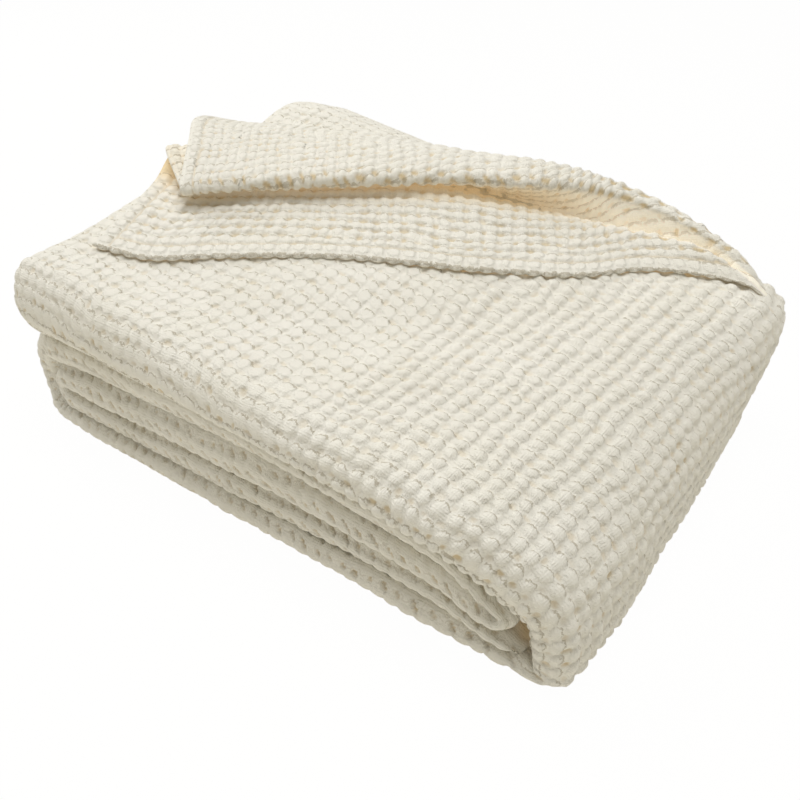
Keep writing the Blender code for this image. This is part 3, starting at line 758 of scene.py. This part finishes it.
def sheet_mesh(name, grid, normal, weave, shade, index=None, caps=()):
    """Mesh of a sheet from its grid of points; index gives the point for each place, if they share some.

    Its maps are the weave, in cells; the shade, which is the painted shade in the pits and how crisp the pads
    are drawn, with the side of their painted rim shadow; the depth, which is the painted warm shade and the
    painted glow in the gaps; and a flat map."""
    rows, lines = grid.shape[:2]
    if index is None:
        index = np.arange(rows * lines).reshape(rows, lines)
    quads = np.stack([index[:-1, :-1], index[1:, :-1], index[1:, 1:], index[:-1, 1:]], axis=-1).reshape(-1, 4)
    faces = [list(dict.fromkeys(quad)) for quad in quads.tolist()]
    faces = [face for face in faces if len(face) > 2] + [face for face in caps if len(set(face)) == 3]
    used, corners = np.unique(np.concatenate(faces), return_inverse=True)
    sizes = np.cumsum([0] + [len(face) for face in faces])
    faces = [corners[start:end].tolist() for start, end in zip(sizes[:-1], sizes[1:])]
    points = (grid.reshape(-1, 3)[used] - FOOT_MIDDLE) * CENTIMETRE
    points[:, 2] = np.maximum(points[:, 2], 0.0)
    mesh = bpy.data.meshes.new(name)
    mesh.from_pydata(points, [], faces)
    mesh.update()
    flat = np.meshgrid(np.linspace(0.005, 0.995, rows), np.linspace(0.005, 0.995, lines), indexing="ij")
    flat = np.stack(flat, axis=-1)
    shade, depth = shade[..., 0:2], shade[..., 2:4]
    for title, values in (("OFBake", flat), ("weave", weave), ("shade", shade), ("depth", depth)):
        layer = mesh.uv_layers.new(name=title)
        layer.uv.foreach_set("vector", values.reshape(-1, 2)[used][corners].astype(np.float32).ravel())
    mesh.shade_smooth()
    if normal is not None:
        mesh.normals_split_custom_set_from_vertices(normal.reshape(-1, 3)[used])
    thing = bpy.data.objects.new(name, mesh)
    bpy.context.scene.collection.objects.link(thing)
    return thing


def finish_piece(piece):
    piece.data.materials.append(WOVEN_COTTON)
    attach(piece, "root")
    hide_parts("blanket")
    return piece


# ---------------------------------------------------------------- material
def linear(hex_colour):
    """sRGB hex to linear red, green, blue and alpha."""
    parts = [int(hex_colour[i:i + 2], 16) / 255.0 for i in (1, 3, 5)]
    parts = [part / 12.92 if part <= 0.04045 else ((part + 0.055) / 1.055) ** 2.4 for part in parts]
    return (*parts, 1.0)


def add_node(material, kind, *inputs, links=None, **settings):
    """Adds a node and gives its outputs; an input, in order or named in links, takes a socket or a value."""
    tree = material.node_tree
    node = tree.nodes.new(kind)
    for name, value in settings.items():
        setattr(node, name, value)
    for name, value in [*enumerate(inputs), *(links or {}).items()]:
        if isinstance(value, bpy.types.NodeSocket):
            tree.links.new(value, node.inputs[name])
        else:
            node.inputs[name].default_value = value
    return node.outputs


MATHS = "ShaderNodeMath"
RANGE = "ShaderNodeMapRange"
# Threads lie 0.7 mm apart in the cloth and are drawn at twice that, seven to a cell, so that they show.
THREADS_IN_A_CELL = 7.0
# Unevenness in lumps to the metre, how many times finer it gets, and how rough: the outline of the pads
# about every 2.5 mm, the fibre about every 1.6 mm, and the tone of the cotton about every 45 mm.
OUTLINE_FUZZ = (400.0, 3.0, 0.65)
FIBRE_FUZZ = (620.0, 4.0, 0.65)
TONE_PATCHES = (22.0, 2.0, 0.5)


def cotton_cloth():
    """Woven cotton, unbleached: matt and soft, cream on the pads, with painted shade down in the pits, painted
    shadow lines at the rims of the pads, and painted warm shade and a painted glow in the gaps.
    """
    material = bpy.data.materials.new("woven_cotton")
    material.use_nodes = True
    material.node_tree.nodes.clear()
    node = partial(add_node, material)
    across, along, _ = node("ShaderNodeSeparateXYZ", node("ShaderNodeUVMap", uv_map="weave")[0])
    # the shade map holds the painted shade in the pits, and the mark for the painted rim shadow
    pit_shade_share, mark, _ = node("ShaderNodeSeparateXYZ", node("ShaderNodeUVMap", uv_map="shade")[0])
    # the depth map holds the painted warm shade and the painted glow in the gaps
    painted_warm_shade, glow, _ = node("ShaderNodeSeparateXYZ", node("ShaderNodeUVMap", uv_map="depth")[0])
    # the sign of the mark gives the side of the painted rim shadow, and its size how crisp the pads are drawn
    side = node(MATHS, mark, operation="SIGN")[0]
    crisp = node(MATHS, mark, operation="ABSOLUTE")[0]
    position = node("ShaderNodeTexCoord")["Object"]
    ragged, fibre, patch = [
        node("ShaderNodeTexNoise",
             links={"Vector": position, "Scale": lumps, "Detail": finer, "Roughness": rough})
        for lumps, finer, rough in (OUTLINE_FUZZ, FIBRE_FUZZ, TONE_PATCHES)]
    ragged = node("ShaderNodeSeparateXYZ", ragged["Color"])
    # in each direction, waves with one crest to a cell, threads, and the way from the middle of a ragged pad
    waves, threads, cells, ways = [], [], [], []
    for place, fuzz in ((across, ragged[0]), (along, ragged[1])):
        for count, cosines in ((1.0, waves), (THREADS_IN_A_CELL, threads)):
            turn = node(MATHS, place, 2.0 * math.pi * count, operation="MULTIPLY")[0]
            cosines.append(node(MATHS, turn, operation="COSINE")[0])
        cells.append(node(MATHS, place, operation="ROUND")[0])
        shift = node(MATHS, fuzz, 0.6, -0.3, operation="MULTIPLY_ADD")[0]
        from_middle = node(MATHS, place, cells[-1], operation="SUBTRACT")[0]
        ways.append(node(MATHS, from_middle, shift, operation="ADD")[0])
    # each pad has its own size
    cell = node("ShaderNodeCombineXYZ", *cells)[0]
    chance = node("ShaderNodeTexWhiteNoise", cell, noise_dimensions="2D")["Value"]
    square = node(MATHS, ways[1], ways[1], operation="MULTIPLY")[0]
    square = node(MATHS, ways[0], ways[0], square, operation="MULTIPLY_ADD")[0]
    reach = node(MATHS, chance, 0.1, node(MATHS, square, operation="SQRT")[0], operation="MULTIPLY_ADD")[0]
    pad = node(RANGE, reach, 0.5, 0.38, interpolation_type="SMOOTHSTEP")[0]
    # a painted shadow line: each pad is drawn with a thin dark rim on its far side, where it would overhang a
    # little
    rim_shadow_width = node(MATHS, side, -0.025, 0.075, operation="MULTIPLY_ADD")[0]
    rim = node(MATHS, node(MATHS, reach, 0.48, rim_shadow_width, operation="COMPARE")[0],
               node(MATHS, side, ways[1], operation="MULTIPLY")[0], operation="MULTIPLY")[0]
    rim = node(RANGE, rim, -0.12, -0.34, interpolation_type="SMOOTHSTEP")[0]
    rim = node(MATHS, rim, node(MATHS, crisp, 0.6, operation="MULTIPLY")[0], operation="MULTIPLY")[0]
    # the thread runs along the ridge that it floats over
    ridge = node(MATHS, *waves, operation="SUBTRACT")[0]
    ridge = node(RANGE, ridge, -0.6, 0.6, interpolation_type="SMOOTHSTEP")[0]
    thread = node("ShaderNodeMix", links={"Factor": ridge, "A": threads[1], "B": threads[0]})[0]
    # cream that drifts in tone, painted shade in the pits, painted shadow lines at the rims, and painted warm
    # shade in the gaps, which stands for light bounced between the layers and through the cloth
    painted_pit_shade = node(MATHS, pit_shade_share, 0.85, operation="MULTIPLY")[0]
    colour = linear("#F2EFE6")
    for share, tint, way in ((patch[0], "#ECE8DB", "MIX"), (painted_pit_shade, "#D0B98A", "MIX"),
                             (rim, "#A89C82", "MIX"), (painted_warm_shade, "#E7D5B4", "MULTIPLY")):
        colour = node("ShaderNodeMix", links={"Factor": share, "A": colour, "B": linear(tint)},
                      data_type="RGBA", blend_type=way)[2]
    # threads show between the pads, and the pads are felted smooth
    weight = node(MATHS, pad, 0.15, 0.2, operation="MULTIPLY_ADD")[0]
    height = node(MATHS, node(MATHS, thread, weight, operation="MULTIPLY")[0],
                  node(MATHS, fibre[0], 3.0, operation="MULTIPLY")[0], operation="ADD")[0]
    on_pad = node(MATHS, crisp, 1.5, operation="MULTIPLY")[0]
    height = node(MATHS, pad, on_pad, height, operation="MULTIPLY_ADD")[0]
    bump = node("ShaderNodeBump", links={"Height": height, "Strength": 0.6, "Distance": 0.0005})[0]
    # a painted glow: the gaps give off a little light in their own colour, standing in for light bounced
    # between the layers and through the cloth
    shader = node("ShaderNodeBsdfPrincipled", links={
        "Base Color": colour, "Roughness": 0.92, "Normal": bump, "Emission Color": colour,
        "Emission Strength": node(MATHS, glow, 0.3, operation="MULTIPLY")[0],
        "Sheen Weight": 0.25, "Sheen Roughness": 0.5, "Specular IOR Level": 0.25,
    })[0]
    node("ShaderNodeOutputMaterial", links={"Surface": shader})
    return material


WOVEN_COTTON = cotton_cloth()


# ---------------------------------------------------------------- pieces of the roll
def roll_loop():
    """Places round a loop: back edge, outer face from the back, the front fold, inner face, back edge."""
    face = np.linspace(0.0, 1.0, FACE_LINES)
    fold = np.linspace(0.0, 1.0, FOLD_LINES)[1:-1]
    edge = np.concatenate([np.linspace(0.0, 1.0, 10), [1.5, 2.5]])[1:]
    zone = np.repeat([3, 0, 1, 2, 4], [len(edge), len(face), len(fold), len(face), len(edge)])
    return zone, np.concatenate([edge[::-1], face, fold, face, edge])


def by_stretch(values, spread):
    """One value for each stretch, by name, spread softly over the rows of the roll."""
    out = np.zeros(len(ROLL_CUTS))
    for name, (start, end) in ROLL_ROWS.items():
        out[start:end + 1] = values.get(name, 0.0)
    return relax(out[:, None], spread, 0)


ROLL_CUTS, ROLL_ALONG, ROLL_ROWS = roll_rows(FOLD_STEP)
LOOP_ZONE, LOOP_VALUE = roll_loop()
FOLD_START = int(np.argmax(LOOP_ZONE == 1))
FACE_START = int(np.argmax(LOOP_ZONE == 0))


def shear_at(along):
    """The cloth runs askew in the runs, and true on the lid."""
    places = [0.0, 4.0]
    shears = [0.0, 0.3]
    for name, shear in (("second", 0.3), ("first", 0.5), ("outer_bend", 0.3), ("bottom", 0.3), ("foot", 0.0)):
        places.append(ROLL_ALONG[ROLL_ROWS[name][0]])
        shears.append(shear)
    return np.interp(along, places, shears)


def roll_fields():
    """The whole roll: its points, normals, weave, and how plump, opened and relieved each place is, how much
    painted warm shade and painted glow it gets in the gaps, and how crinkled it is."""
    grid = np.array([cut.place(LOOP_ZONE, LOOP_VALUE) for cut in ROLL_CUTS])
    grid = relax(grid, 10, 0)
    hop = np.linalg.norm(np.diff(grid, axis=1), axis=2)
    around = np.concatenate([np.zeros((len(grid), 1)), np.cumsum(hop, axis=1)], axis=1)
    v = around - around[:, FOLD_START:FOLD_START + 1]
    end = ROLL_ALONG[-1]
    loose = smooth_step(np.minimum(ROLL_ALONG, end - ROLL_ALONG) / 3.0)[:, None]
    u = ROLL_ALONG[:, None] + shear_at(ROLL_ALONG)[:, None] * np.clip(v, -2.0, 5.0)
    u, v = wander(u, v, 1, loose)
    normal = normals_of(grid)
    folded = by_stretch(dict.fromkeys(RUNS, 1.0), 8)
    opened = relax(opened_by(grid, normal), 3, 1) * folded
    size_u, size_v = cell_size(grid, u, v)
    room = within(np.minimum(size_u, size_v) * 1.1)
    # the relief is whole on what shows and fades out between the layers
    shown = by_stretch(dict.fromkeys(("outer_bend", "foot", "wrap", "lid", "nose"), 1.0), 12)
    length = PACK_BACK - BACK_ROUND
    outside, inside = LOOP_ZONE == 0, LOOP_ZONE == 2
    from_fold = np.where(outside, 1.0 - LOOP_VALUE, LOOP_VALUE) * length
    from_back = np.where(outside, LOOP_VALUE, 1.0 - LOOP_VALUE) * length
    hidden = np.maximum(fade((from_fold - 1.6) / 1.2), 0.7 * fade(from_back / 1.0))
    hidden = np.where(LOOP_ZONE >= 3, 0.7 * fade(LOOP_VALUE - 1.0), hidden)
    hidden = np.where(LOOP_ZONE == 1, 1.0, hidden)
    outer = np.maximum(outside * shown, inside * by_stretch({"nose": 1.0}, 6))
    relief = np.maximum(hidden[None], outer) * room
    # painted warm shade in the gaps between the layers and in the hollow of the right bend; it also sets the
    # painted glow
    gap_shade = np.where(outside | inside, smooth_step((from_fold - 0.2) / 2.0), 0.0)
    gap_shade = gap_shade * (1.0 - 0.8 * (from_back < 3.0))
    gap_shade = 0.6 * gap_shade[None] * (1.0 - outer) * (1.0 - by_stretch({"nose": 1.0, "outer_bend": 0.8}, 30))
    away = np.linalg.norm(grid - np.array(BEND_HOLLOW[:3]), axis=2)
    edge = 0.6 * BEND_HOLLOW[3]
    gap_shade = np.maximum(gap_shade, fade((away - edge) / edge))
    plump = np.repeat(by_stretch(PLUMPNESS, 18), grid.shape[1], axis=1)
    fold = within(1.6 - np.abs(v - 0.6) / 2.4) * by_stretch({"lid": 1.0, "nose": 1.0}, 18)
    plump = plump + FOLD_PLUMPNESS * fold
    # the tight bends are crinkled
    bends = by_stretch(
        {"third_end": 1.0, "right_bend": 1.0, "inner_bend": 1.0, "outer_bend": 0.6, "foot": 0.6}, 10)
    crinkle = np.repeat(bends, grid.shape[1], axis=1)
    fields = np.stack([u, v, plump, opened, relief, gap_shade, crinkle], axis=-1)
    return np.concatenate([grid, normal, fields], axis=-1)


ROLL = roll_fields()


def seam_at(row):
    """The line of the weave nearest to a cut, where two pieces meet."""
    return float(np.round(ROLL_ALONG[row])) + 0.0


# the lines at the back edge stay fine for this many cells
FINE_MARGIN = 1.6


def lines_round(v, shown, both_faces):
    """Lines round the loop: fine where the face shows, coarse between the layers, fine again at the back."""
    middle = v.mean(axis=0)
    back, front = FACE_START, FOLD_START
    inner_front = int(np.argmax(LOOP_ZONE == 2))
    inner_back = int(np.argmax(LOOP_ZONE == 4)) - 1
    per_line = 1.0 / (middle[front - 3] - middle[front - 4])
    margin = FINE_MARGIN * per_line
    low = float(v[:, back].max()) + 1.3 if shown else -2.4
    reach = int(np.argmax(v.max(axis=0) > low - 0.1))
    lines = [*range(back + 1)]
    if shown:
        lines += [*np.arange(back + 0.5, reach - 0.4, 0.5)]
    else:
        near = back + margin
        lines += [*np.arange(back + 0.5, near, 0.5), *np.linspace(near, reach - 0.5, 9)]
    high = float(v[:, inner_back].min()) - 1.3 if both_faces else float(v[:, inner_front].max()) + 2.4
    lines = held_lines(lines) + cell_lines(low, high)
    reach = int(np.argmax(v.min(axis=0) > high + 0.1))
    near = reach if both_faces else inner_back - margin
    coarse = [] if both_faces else np.linspace(reach + 0.5, near, 9)
    return lines + held_lines([*coarse, *np.arange(near + 0.5, inner_back, 0.5),
                               *range(inner_back, len(LOOP_ZONE))])


def rise_to_hem(grid, v, hem, before_hem):
    """How far the lid rises to meet the hem that rests on it."""
    gap = [point[2] - HEM_REST - lid_top(point) for point in hem]
    rise = np.interp(grid[..., 0], hem[:, 0], np.maximum(gap, 0.0)) * (v < 0.0) * (np.abs(before_hem) < 50.0)
    return rise * smooth_step(1.0 + before_hem / HEM_RISE_WIDTH)


def close_end(grid, v):
    """Brings the two faces together at the end of the cloth."""
    place = grid[-1, :, 1]
    faces = [(side, np.argsort(place[side])) for side in (v[-1] < 0.0, v[-1] > 1.0)]
    for axis in (0, 2):
        ends = [np.interp(place, place[side][order], grid[-1, side, axis][order]) for side, order in faces]
        grid[-1, :, axis] = blend(*ends, 0.5)


def roll_piece(name, first, last):
    """A piece of the roll from the start of one stretch to the end of another."""
    start, end = ROLL_ROWS[first][0], ROLL_ROWS[last][1]
    a, b = max(start - GHOST_ROWS, 0), min(end + GHOST_ROWS, len(ROLL_CUTS) - 1)
    fields = ROLL[a:b + 1]
    u, v = fields[..., 6], fields[..., 7]
    from_u, to_u = seam_at(start), seam_at(end)
    rows = cell_lines(ROLL_ALONG[0] + 0.45 if start == a else from_u - 0.25,
                      ROLL_ALONG[-1] - 0.45 if end == b else to_u + 0.25)
    if start == a:
        rows = held_lines(END_ROWS) + rows
    if end == b:
        rows += held_lines(len(fields) - 1.0 - np.array(END_ROWS[::-1]))
    shown = first in ("outer_bend", "foot", "lid", "nose")
    at_row, at_line = follow_weave(u, v, rows, lines_round(v, shown, first == "nose"))
    at = look_up(fields, at_row, at_line)
    grid, normal = at[..., 0:3], unit(at[..., 3:6])
    u, v, plump, opened, relief, gap_shade, crinkle = np.moveaxis(at[..., 6:], -1, 0)
    hem = np.array(FLAP_EDGES)[:, 0:3]
    under_hem = grid[..., 1] - np.interp(grid[..., 0], hem[:, 0], hem[:, 1], left=99.0, right=99.0)
    if shown:
        grid = grid + rise_to_hem(grid, v, hem, under_hem)[..., None] * (0.0, 0.0, 1.0)
    height, pit_shade = waffle(u, v, ROLL_WEAVE, plump, opened)
    swell = 0.05 * soft_noise(u, v, 2.3, FINE_SWELL) + 0.07 * soft_noise(u, v, 5.5, BROAD_SWELL)
    crease = 0.16 * soft_noise(1.8 * u, 0.7 * v, 1.6, LONG_CRINKLE)
    crease = crease + 0.1 * soft_noise(u, 0.6 * v, 1.1, SHORT_CRINKLE)
    swell = swell + crinkle * crease
    grid = grid + normal * ((height + swell) * relief)[..., None]
    if end == b:
        close_end(grid, v)
    normal = normals_of(grid)
    keep = np.array([row_held or from_u - 1e-6 < place < to_u + 1e-6 for place, row_held in rows])
    # painted warm shade and a painted glow on the lid in the gap just under the flap's hem
    hem_gap_shade = smooth_step((under_hem - 0.05) / 0.4) * fade((under_hem - 1.5) / 1.0)
    hem_gap_shade = hem_gap_shade * (grid[..., 0] < -5.0) * (v < 0.0) if shown else 0.0
    # painted shade in the pits, less on faces that look up
    pit_shade = pit_shade * relief * (PIT_SHADE_ON_TOP + (1.0 - PIT_SHADE_ON_TOP) * within(1.0 - normal[..., 2]))
    crisp = np.repeat(by_stretch(CRISPNESS, 12)[a:b + 1], len(LOOP_ZONE), axis=1)
    crisp = look_up(crisp[..., None], at_row, at_line)[..., 0]
    # painted glow in the gaps and under the hem
    glow = np.maximum(0.3 * gap_shade, 0.8 * hem_gap_shade)
    shade = np.stack([within(pit_shade), crisp, within(np.maximum(gap_shade, hem_gap_shade)), within(glow)], axis=-1)
    weave = np.stack([u, v], axis=-1)
    piece = sheet_mesh(name, grid[keep], normal[keep], weave[keep], shade[keep])
    return finish_piece(piece)


roll_piece("inner_runs", "third_end", "second")
roll_piece("first_run", "right_bend", "first")
roll_piece("left_side", "outer_bend", "outer_bend")
roll_piece("bottom_run", "bottom", "bottom")
roll_piece("wrap", "foot", "wrap")
roll_piece("lid", "lid", "lid")
roll_piece("lid_end", "nose", "nose")


# ---------------------------------------------------------------- the flaps
def flap_fields():
    """The flaps' cloth: its points, normals, weave, and how opened, roomy, thin, deep in the pocket and lying
    each place is, and how much painted warm shade it gets there; also how far along and how far from the hem
    each place is."""
    knots = flap_lines()
    rows = spline(knots.reshape(len(knots), -1), FLAP_ROW_STEPS).reshape(-1, 13, 3)
    length = length_to(rows[:, 0])
    along = np.linspace(0.0, length[-1], int(length[-1] / FOLD_STEP))
    where = np.interp(along, length, np.arange(len(rows)))
    low = np.clip(where.astype(int), 0, len(rows) - 2)
    rows = blend(rows[low], rows[low + 1], (where - low)[:, None, None])
    section = where / FLAP_ROW_STEPS
    thin = np.interp(section, np.arange(len(FLAP_SECTIONS)), column(FLAP_SECTIONS, 6))[:, None]
    even = [even_line(spline(row, FLAP_POINT_STEPS), FLAP_LINES) for row in rows]
    fine, distance, knot = [np.array(values) for values in zip(*even)]
    knot = knot / FLAP_POINT_STEPS
    # the pocket under the turned fold gets painted warm shade, fading toward the right, and a painted glow
    pocket = smooth_step((knot - 1.6) / 1.0) * fade((knot - 5.6) / 1.4)
    painted_warm_shade = np.repeat(1.0 - 0.75 * smooth_step((section - 6.0) / 3.0)[:, None], FLAP_LINES, axis=1)
    fine = relax(relax(fine, 6, 0), 2, 1)
    normal = normals_of(fine)
    end = np.minimum(along, along[-1] - along)[:, None]
    loose = smooth_step((np.minimum(end, distance) - 0.6) / 1.5)
    u, v = wander(np.repeat(along[:, None], FLAP_LINES, axis=1), distance, FLAP_WEAVE, loose)
    u, v = u + HEM_START, v + HEM_START
    opened = relax(opened_by(fine, normal), 2, 1)
    size_u, size_v = cell_size(fine, u, v)
    room = within(np.minimum(size_u, size_v) * 1.1) * thin
    # the weave lies open in front of the crest
    lying = smooth_step((knot - 0.3) / 0.5) * fade((knot - 2.0) / 0.8)
    fields = np.stack([u, v, opened, room, np.repeat(thin, FLAP_LINES, axis=1), pocket, lying, painted_warm_shade], axis=-1)
    return np.concatenate([fine, normal, fields], axis=-1), along, distance


def flap_sheet():
    """The turned back corner: its upper face, its rounded hem and ends, and its plain under face."""
    fields, along, distance = flap_fields()
    first_cell = HEM_START + 0.04
    lattice = held_lines((0.0,)) + cell_lines(first_cell, along[-1] + HEM_START - 0.3)
    lattice += held_lines((len(along) - 1.0,))
    lines = held_lines((0.0,)) + cell_lines(first_cell, float(distance.max()) + HEM_START)
    at_row, at_line = follow_weave(fields[..., 6], fields[..., 7], lattice, lines)
    at = look_up(fields, at_row, at_line)
    fine, normal = at[..., 0:3], unit(at[..., 3:6])
    u, v, opened, room, thin, pocket, lying, painted_warm_shade = np.moveaxis(at[..., 6:], -1, 0)
    bent = within(1.5 * opened)
    plump = 0.75 + 0.25 * np.maximum(bent, pocket)
    height, pit_shade = waffle(u, v, FLAP_WEAVE, plump, opened, -0.1, 0.6, lying)
    # pits opened round the fold get more painted shade
    pit_shade = pit_shade * (0.7 + 0.3 * bent)
    crisp = 0.9 - 0.25 * pocket
    for across, along_hem, seed in ((v, u, FLAP_WEAVE), (u, v, CROSS_HEM)):
        hem = fade((across - HEM_START - HEM_WIDTH) / 0.12)
        relief, seam = hem_pads(along_hem, across - HEM_START - 0.52, seed)
        height, pit_shade, crisp = blend(height, relief, hem), blend(pit_shade, seam, hem), np.maximum(crisp, hem)
    height = height * room
    half = 0.5 * CLOTH_THICKNESS * thin

    # each pad of the hem bulges past the edge
    outward = unit(fine[:, 0] - fine[:, 2])
    bulge = HEM_SCALLOP * (np.abs(np.cos(np.pi * u[:, 0])) - 0.6) * thin[:, 0]
    near_edge = fade((v - HEM_START) / 0.5)
    fine = fine + (near_edge * bulge[:, None])[..., None] * outward[:, None]
    # a few more rows round each end off
    turns = np.radians(END_ROUNDING)
    before, after = unit(fine[0] - fine[1]), unit(fine[-1] - fine[-2])
    first = [fine[0] + before * half[0, :, None] * math.sin(turn) for turn in turns[::-1]]
    last = [fine[-1] + after * half[-1, :, None] * math.sin(turn) for turn in turns]
    fine = np.concatenate([first, fine, last])
    closing = np.cos(turns)
    closing = np.concatenate([closing[::-1], np.ones(len(normal)), closing])[:, None]

    def ended(values):
        return np.concatenate([np.repeat(values[:1], 5, axis=0), values, np.repeat(values[-1:], 5, axis=0)])

    normal, half, height, pit_shade, crisp, pocket, painted_warm_shade, u, v, at_row, at_line = [
        ended(values) for values in (normal, half, height, pit_shade, crisp, pocket, painted_warm_shade, u, v, at_row, at_line)]
    half = half * closing
    top = fine + normal * (half + height * closing)[..., None]
    # the under face has fewer lines, and is plain but for the turned edge at the left end; both faces
    # end at the root
    share = np.linspace(1.0, 0.0, UNDER_LINES) ** 1.5 * (FLAP_LINES - 1.0)
    shows = np.arange(*UNDER_SHOWS, 0.25) / distance[0, -1] * (FLAP_LINES - 1.0)
    share = np.sort(np.concatenate([share[(share < shows[0]) | (share > shows[-1])], shows]))[None, ::-1]
    under_lines = share.shape[1]
    under_rows = np.repeat(at_row[:, :1], under_lines, axis=1)
    under_at = look_up(fields, under_rows, np.repeat(share, len(at_row), axis=0))
    under_normal = unit(under_at[..., 3:6])
    under_half = 0.5 * CLOTH_THICKNESS * under_at[..., 10] * closing
    under_points = under_at[..., 0:3]
    for number, turn in enumerate(turns):
        for row, inner, outer in ((4 - number, 6, 5), (number - 5, -7, -6)):
            side = unit(under_at[outer, :, 0:3] - under_at[inner, :, 0:3])
            thick = 0.5 * CLOTH_THICKNESS * under_at[row, :, 10:11]
            under_points[row] = under_points[row] + side * thick * math.sin(turn)
    under_u, under_v = under_at[..., 6], under_at[..., 7]
    # the second value is painted shade in the pits of the under face
    relief, pits = waffle(under_u, under_v, UNDER_WEAVE, 1.0, 0.0)
    turned = (share >= shows[0]) * (share <= shows[-1]) * fade((under_u - 4.0) / 1.5) * closing
    under = under_points - under_normal * (under_half + relief * turned)[..., None]
    edge = unit(fine[:, 0] - fine[:, 1])
    rounding = [fine[:, 0] + half[:, :1] * (edge * math.cos(angle) + normal[:, 0] * math.sin(angle))
                for angle in np.radians(HEM_ROUNDING)]
    rounding = np.stack(rounding, axis=1)
    # root end, under face, hem rounding and upper face in one strip
    grid = np.concatenate([under, rounding[:, ::-1], top], axis=1)
    count = under_lines + 5
    index = np.arange(grid.shape[0] * grid.shape[1]).reshape(grid.shape[:2])
    past = at_line > FLAP_LINES - 1.02
    last_line = np.where(past.any(axis=1), np.argmax(past, axis=1), at_line.shape[1] - 1)
    own = np.arange(at_line.shape[1])[None]
    index[:, count:] = index[:, count:count + 1] + np.minimum(own, last_line[:, None])
    index = np.concatenate([index, index[:, :1]], axis=1)

    def strip(upper, lower):
        return np.concatenate([lower, upper], axis=1)

    round_hem = np.zeros((len(grid), 5))
    lower_v = strip(round_hem + np.linspace(0.02, 0.38, 5), 2.0 * HEM_START - under_v)
    weave = np.stack([strip(u, np.repeat(u[:, :1], count, axis=1)), strip(v, lower_v)], axis=-1)
    # painted warm shade and a painted glow on the under face next to the hem, in the gap under it, and a little
    # on the turned part that shows
    under_gap_shade = 0.8 * fade((under_v - HEM_START - 0.5) / 1.0)
    lower_gap_shade = strip(round_hem, under_gap_shade + 0.25 * turned)
    # shade: painted shade in the pits and the seam, and the crispness, negative so that the painted rim shadow
    # falls on the other side; depth: painted warm shade and painted glow
    shade = np.stack([strip(pit_shade, strip(round_hem, pits * turned)), strip(-crisp, -np.ones(lower_gap_shade.shape)),
                      strip(pocket * painted_warm_shade, lower_gap_shade), strip(pocket, lower_gap_shade)], axis=-1)
    caps = []
    lower_at = share[0, ::-1]
    for row in (0, -1):
        lower, upper = index[row, :under_lines][::-1].tolist(), index[row, under_lines:-1].tolist()
        upper_at = np.concatenate([np.zeros(5), at_line[row]])
        faces = zip_lines(lower, lower_at, upper, upper_at)
        caps += faces if row == 0 else [face[::-1] for face in faces]
    piece = sheet_mesh("turned_corner", grid, None, weave, shade, index, caps)
    return finish_piece(piece)


flap_sheet()


# ---------------------------------------------------------------- stage
DAYLIGHT = (1.0, 0.965, 0.87)
LIGHTS_AIM = (0.0, 0.0, 0.1)


def soft_light(name, place, size, power):
    light = bpy.data.lights.new(name, "AREA")
    light.shape = "SQUARE"
    light.size = size
    light.energy = power
    lamp = bpy.data.objects.new(name, light)
    bpy.context.scene.collection.objects.link(lamp)
    lamp.location = place
    away = np.array(place) - np.array(LIGHTS_AIM)
    lamp.rotation_euler = (math.atan2(math.hypot(away[0], away[1]), away[2]), 0.0,
                           math.atan2(away[0], -away[1]))


floor_mesh = bpy.data.meshes.new("floor")
floor_mesh.from_pydata([(-30, -30, 0), (30, -30, 0), (30, 30, 0), (-30, 30, 0)], [], [(0, 1, 2, 3)])
floor = bpy.data.objects.new("floor", floor_mesh)
bpy.context.scene.collection.objects.link(floor)
floor.location.z = -0.0005
paper = bpy.data.materials.new("studio_paper")
paper.use_nodes = True
paper.node_tree.nodes.clear()
# the paper lights the cloth from below as pale paper does, and looks white itself
sheet_white = add_node(paper, "ShaderNodeBsdfDiffuse", linear("#B4B1A8"))[0]
glow = add_node(paper, "ShaderNodeEmission", (*DAYLIGHT, 1.0), 0.55)[0]
soft_floor = add_node(paper, "ShaderNodeAddShader", sheet_white, glow)[0]
lit_white = add_node(paper, "ShaderNodeEmission", (1.0, 1.0, 1.0, 1.0), 1.0)[0]
seen = add_node(paper, "ShaderNodeLightPath")["Is Camera Ray"]
seen = add_node(paper, MATHS, seen, 0.95, operation="MULTIPLY")[0]
paper_mix = add_node(paper, "ShaderNodeMixShader", seen, soft_floor, lit_white)[0]
add_node(paper, "ShaderNodeOutputMaterial", links={"Surface": paper_mix})
floor_mesh.materials.append(paper)

world = bpy.data.worlds.new("studio")
bpy.context.scene.world = world
world.use_nodes = True
background = world.node_tree.nodes["Background"]
background.inputs["Color"].default_value = (*DAYLIGHT, 1.0)
background.inputs["Strength"].default_value = 0.35
soft_light("overhead", (0.15, 0.0, 1.9), 1.2, 21.0)
soft_light("left_wall", (-1.6, 0.2, 1.35), 1.2, 15.5)

view = bpy.data.cameras.new("camera")
view.lens = 40.5
view.sensor_width = 36.0
camera = bpy.data.objects.new("camera", view)
bpy.context.scene.collection.objects.link(camera)
camera.location = (0.3279, -0.4198, 0.3559)
camera.rotation_euler = (math.radians(57.2), 0.0, math.radians(37.8))
bpy.context.scene.camera = camera
bpy.context.scene.view_settings.view_transform = "Standard"
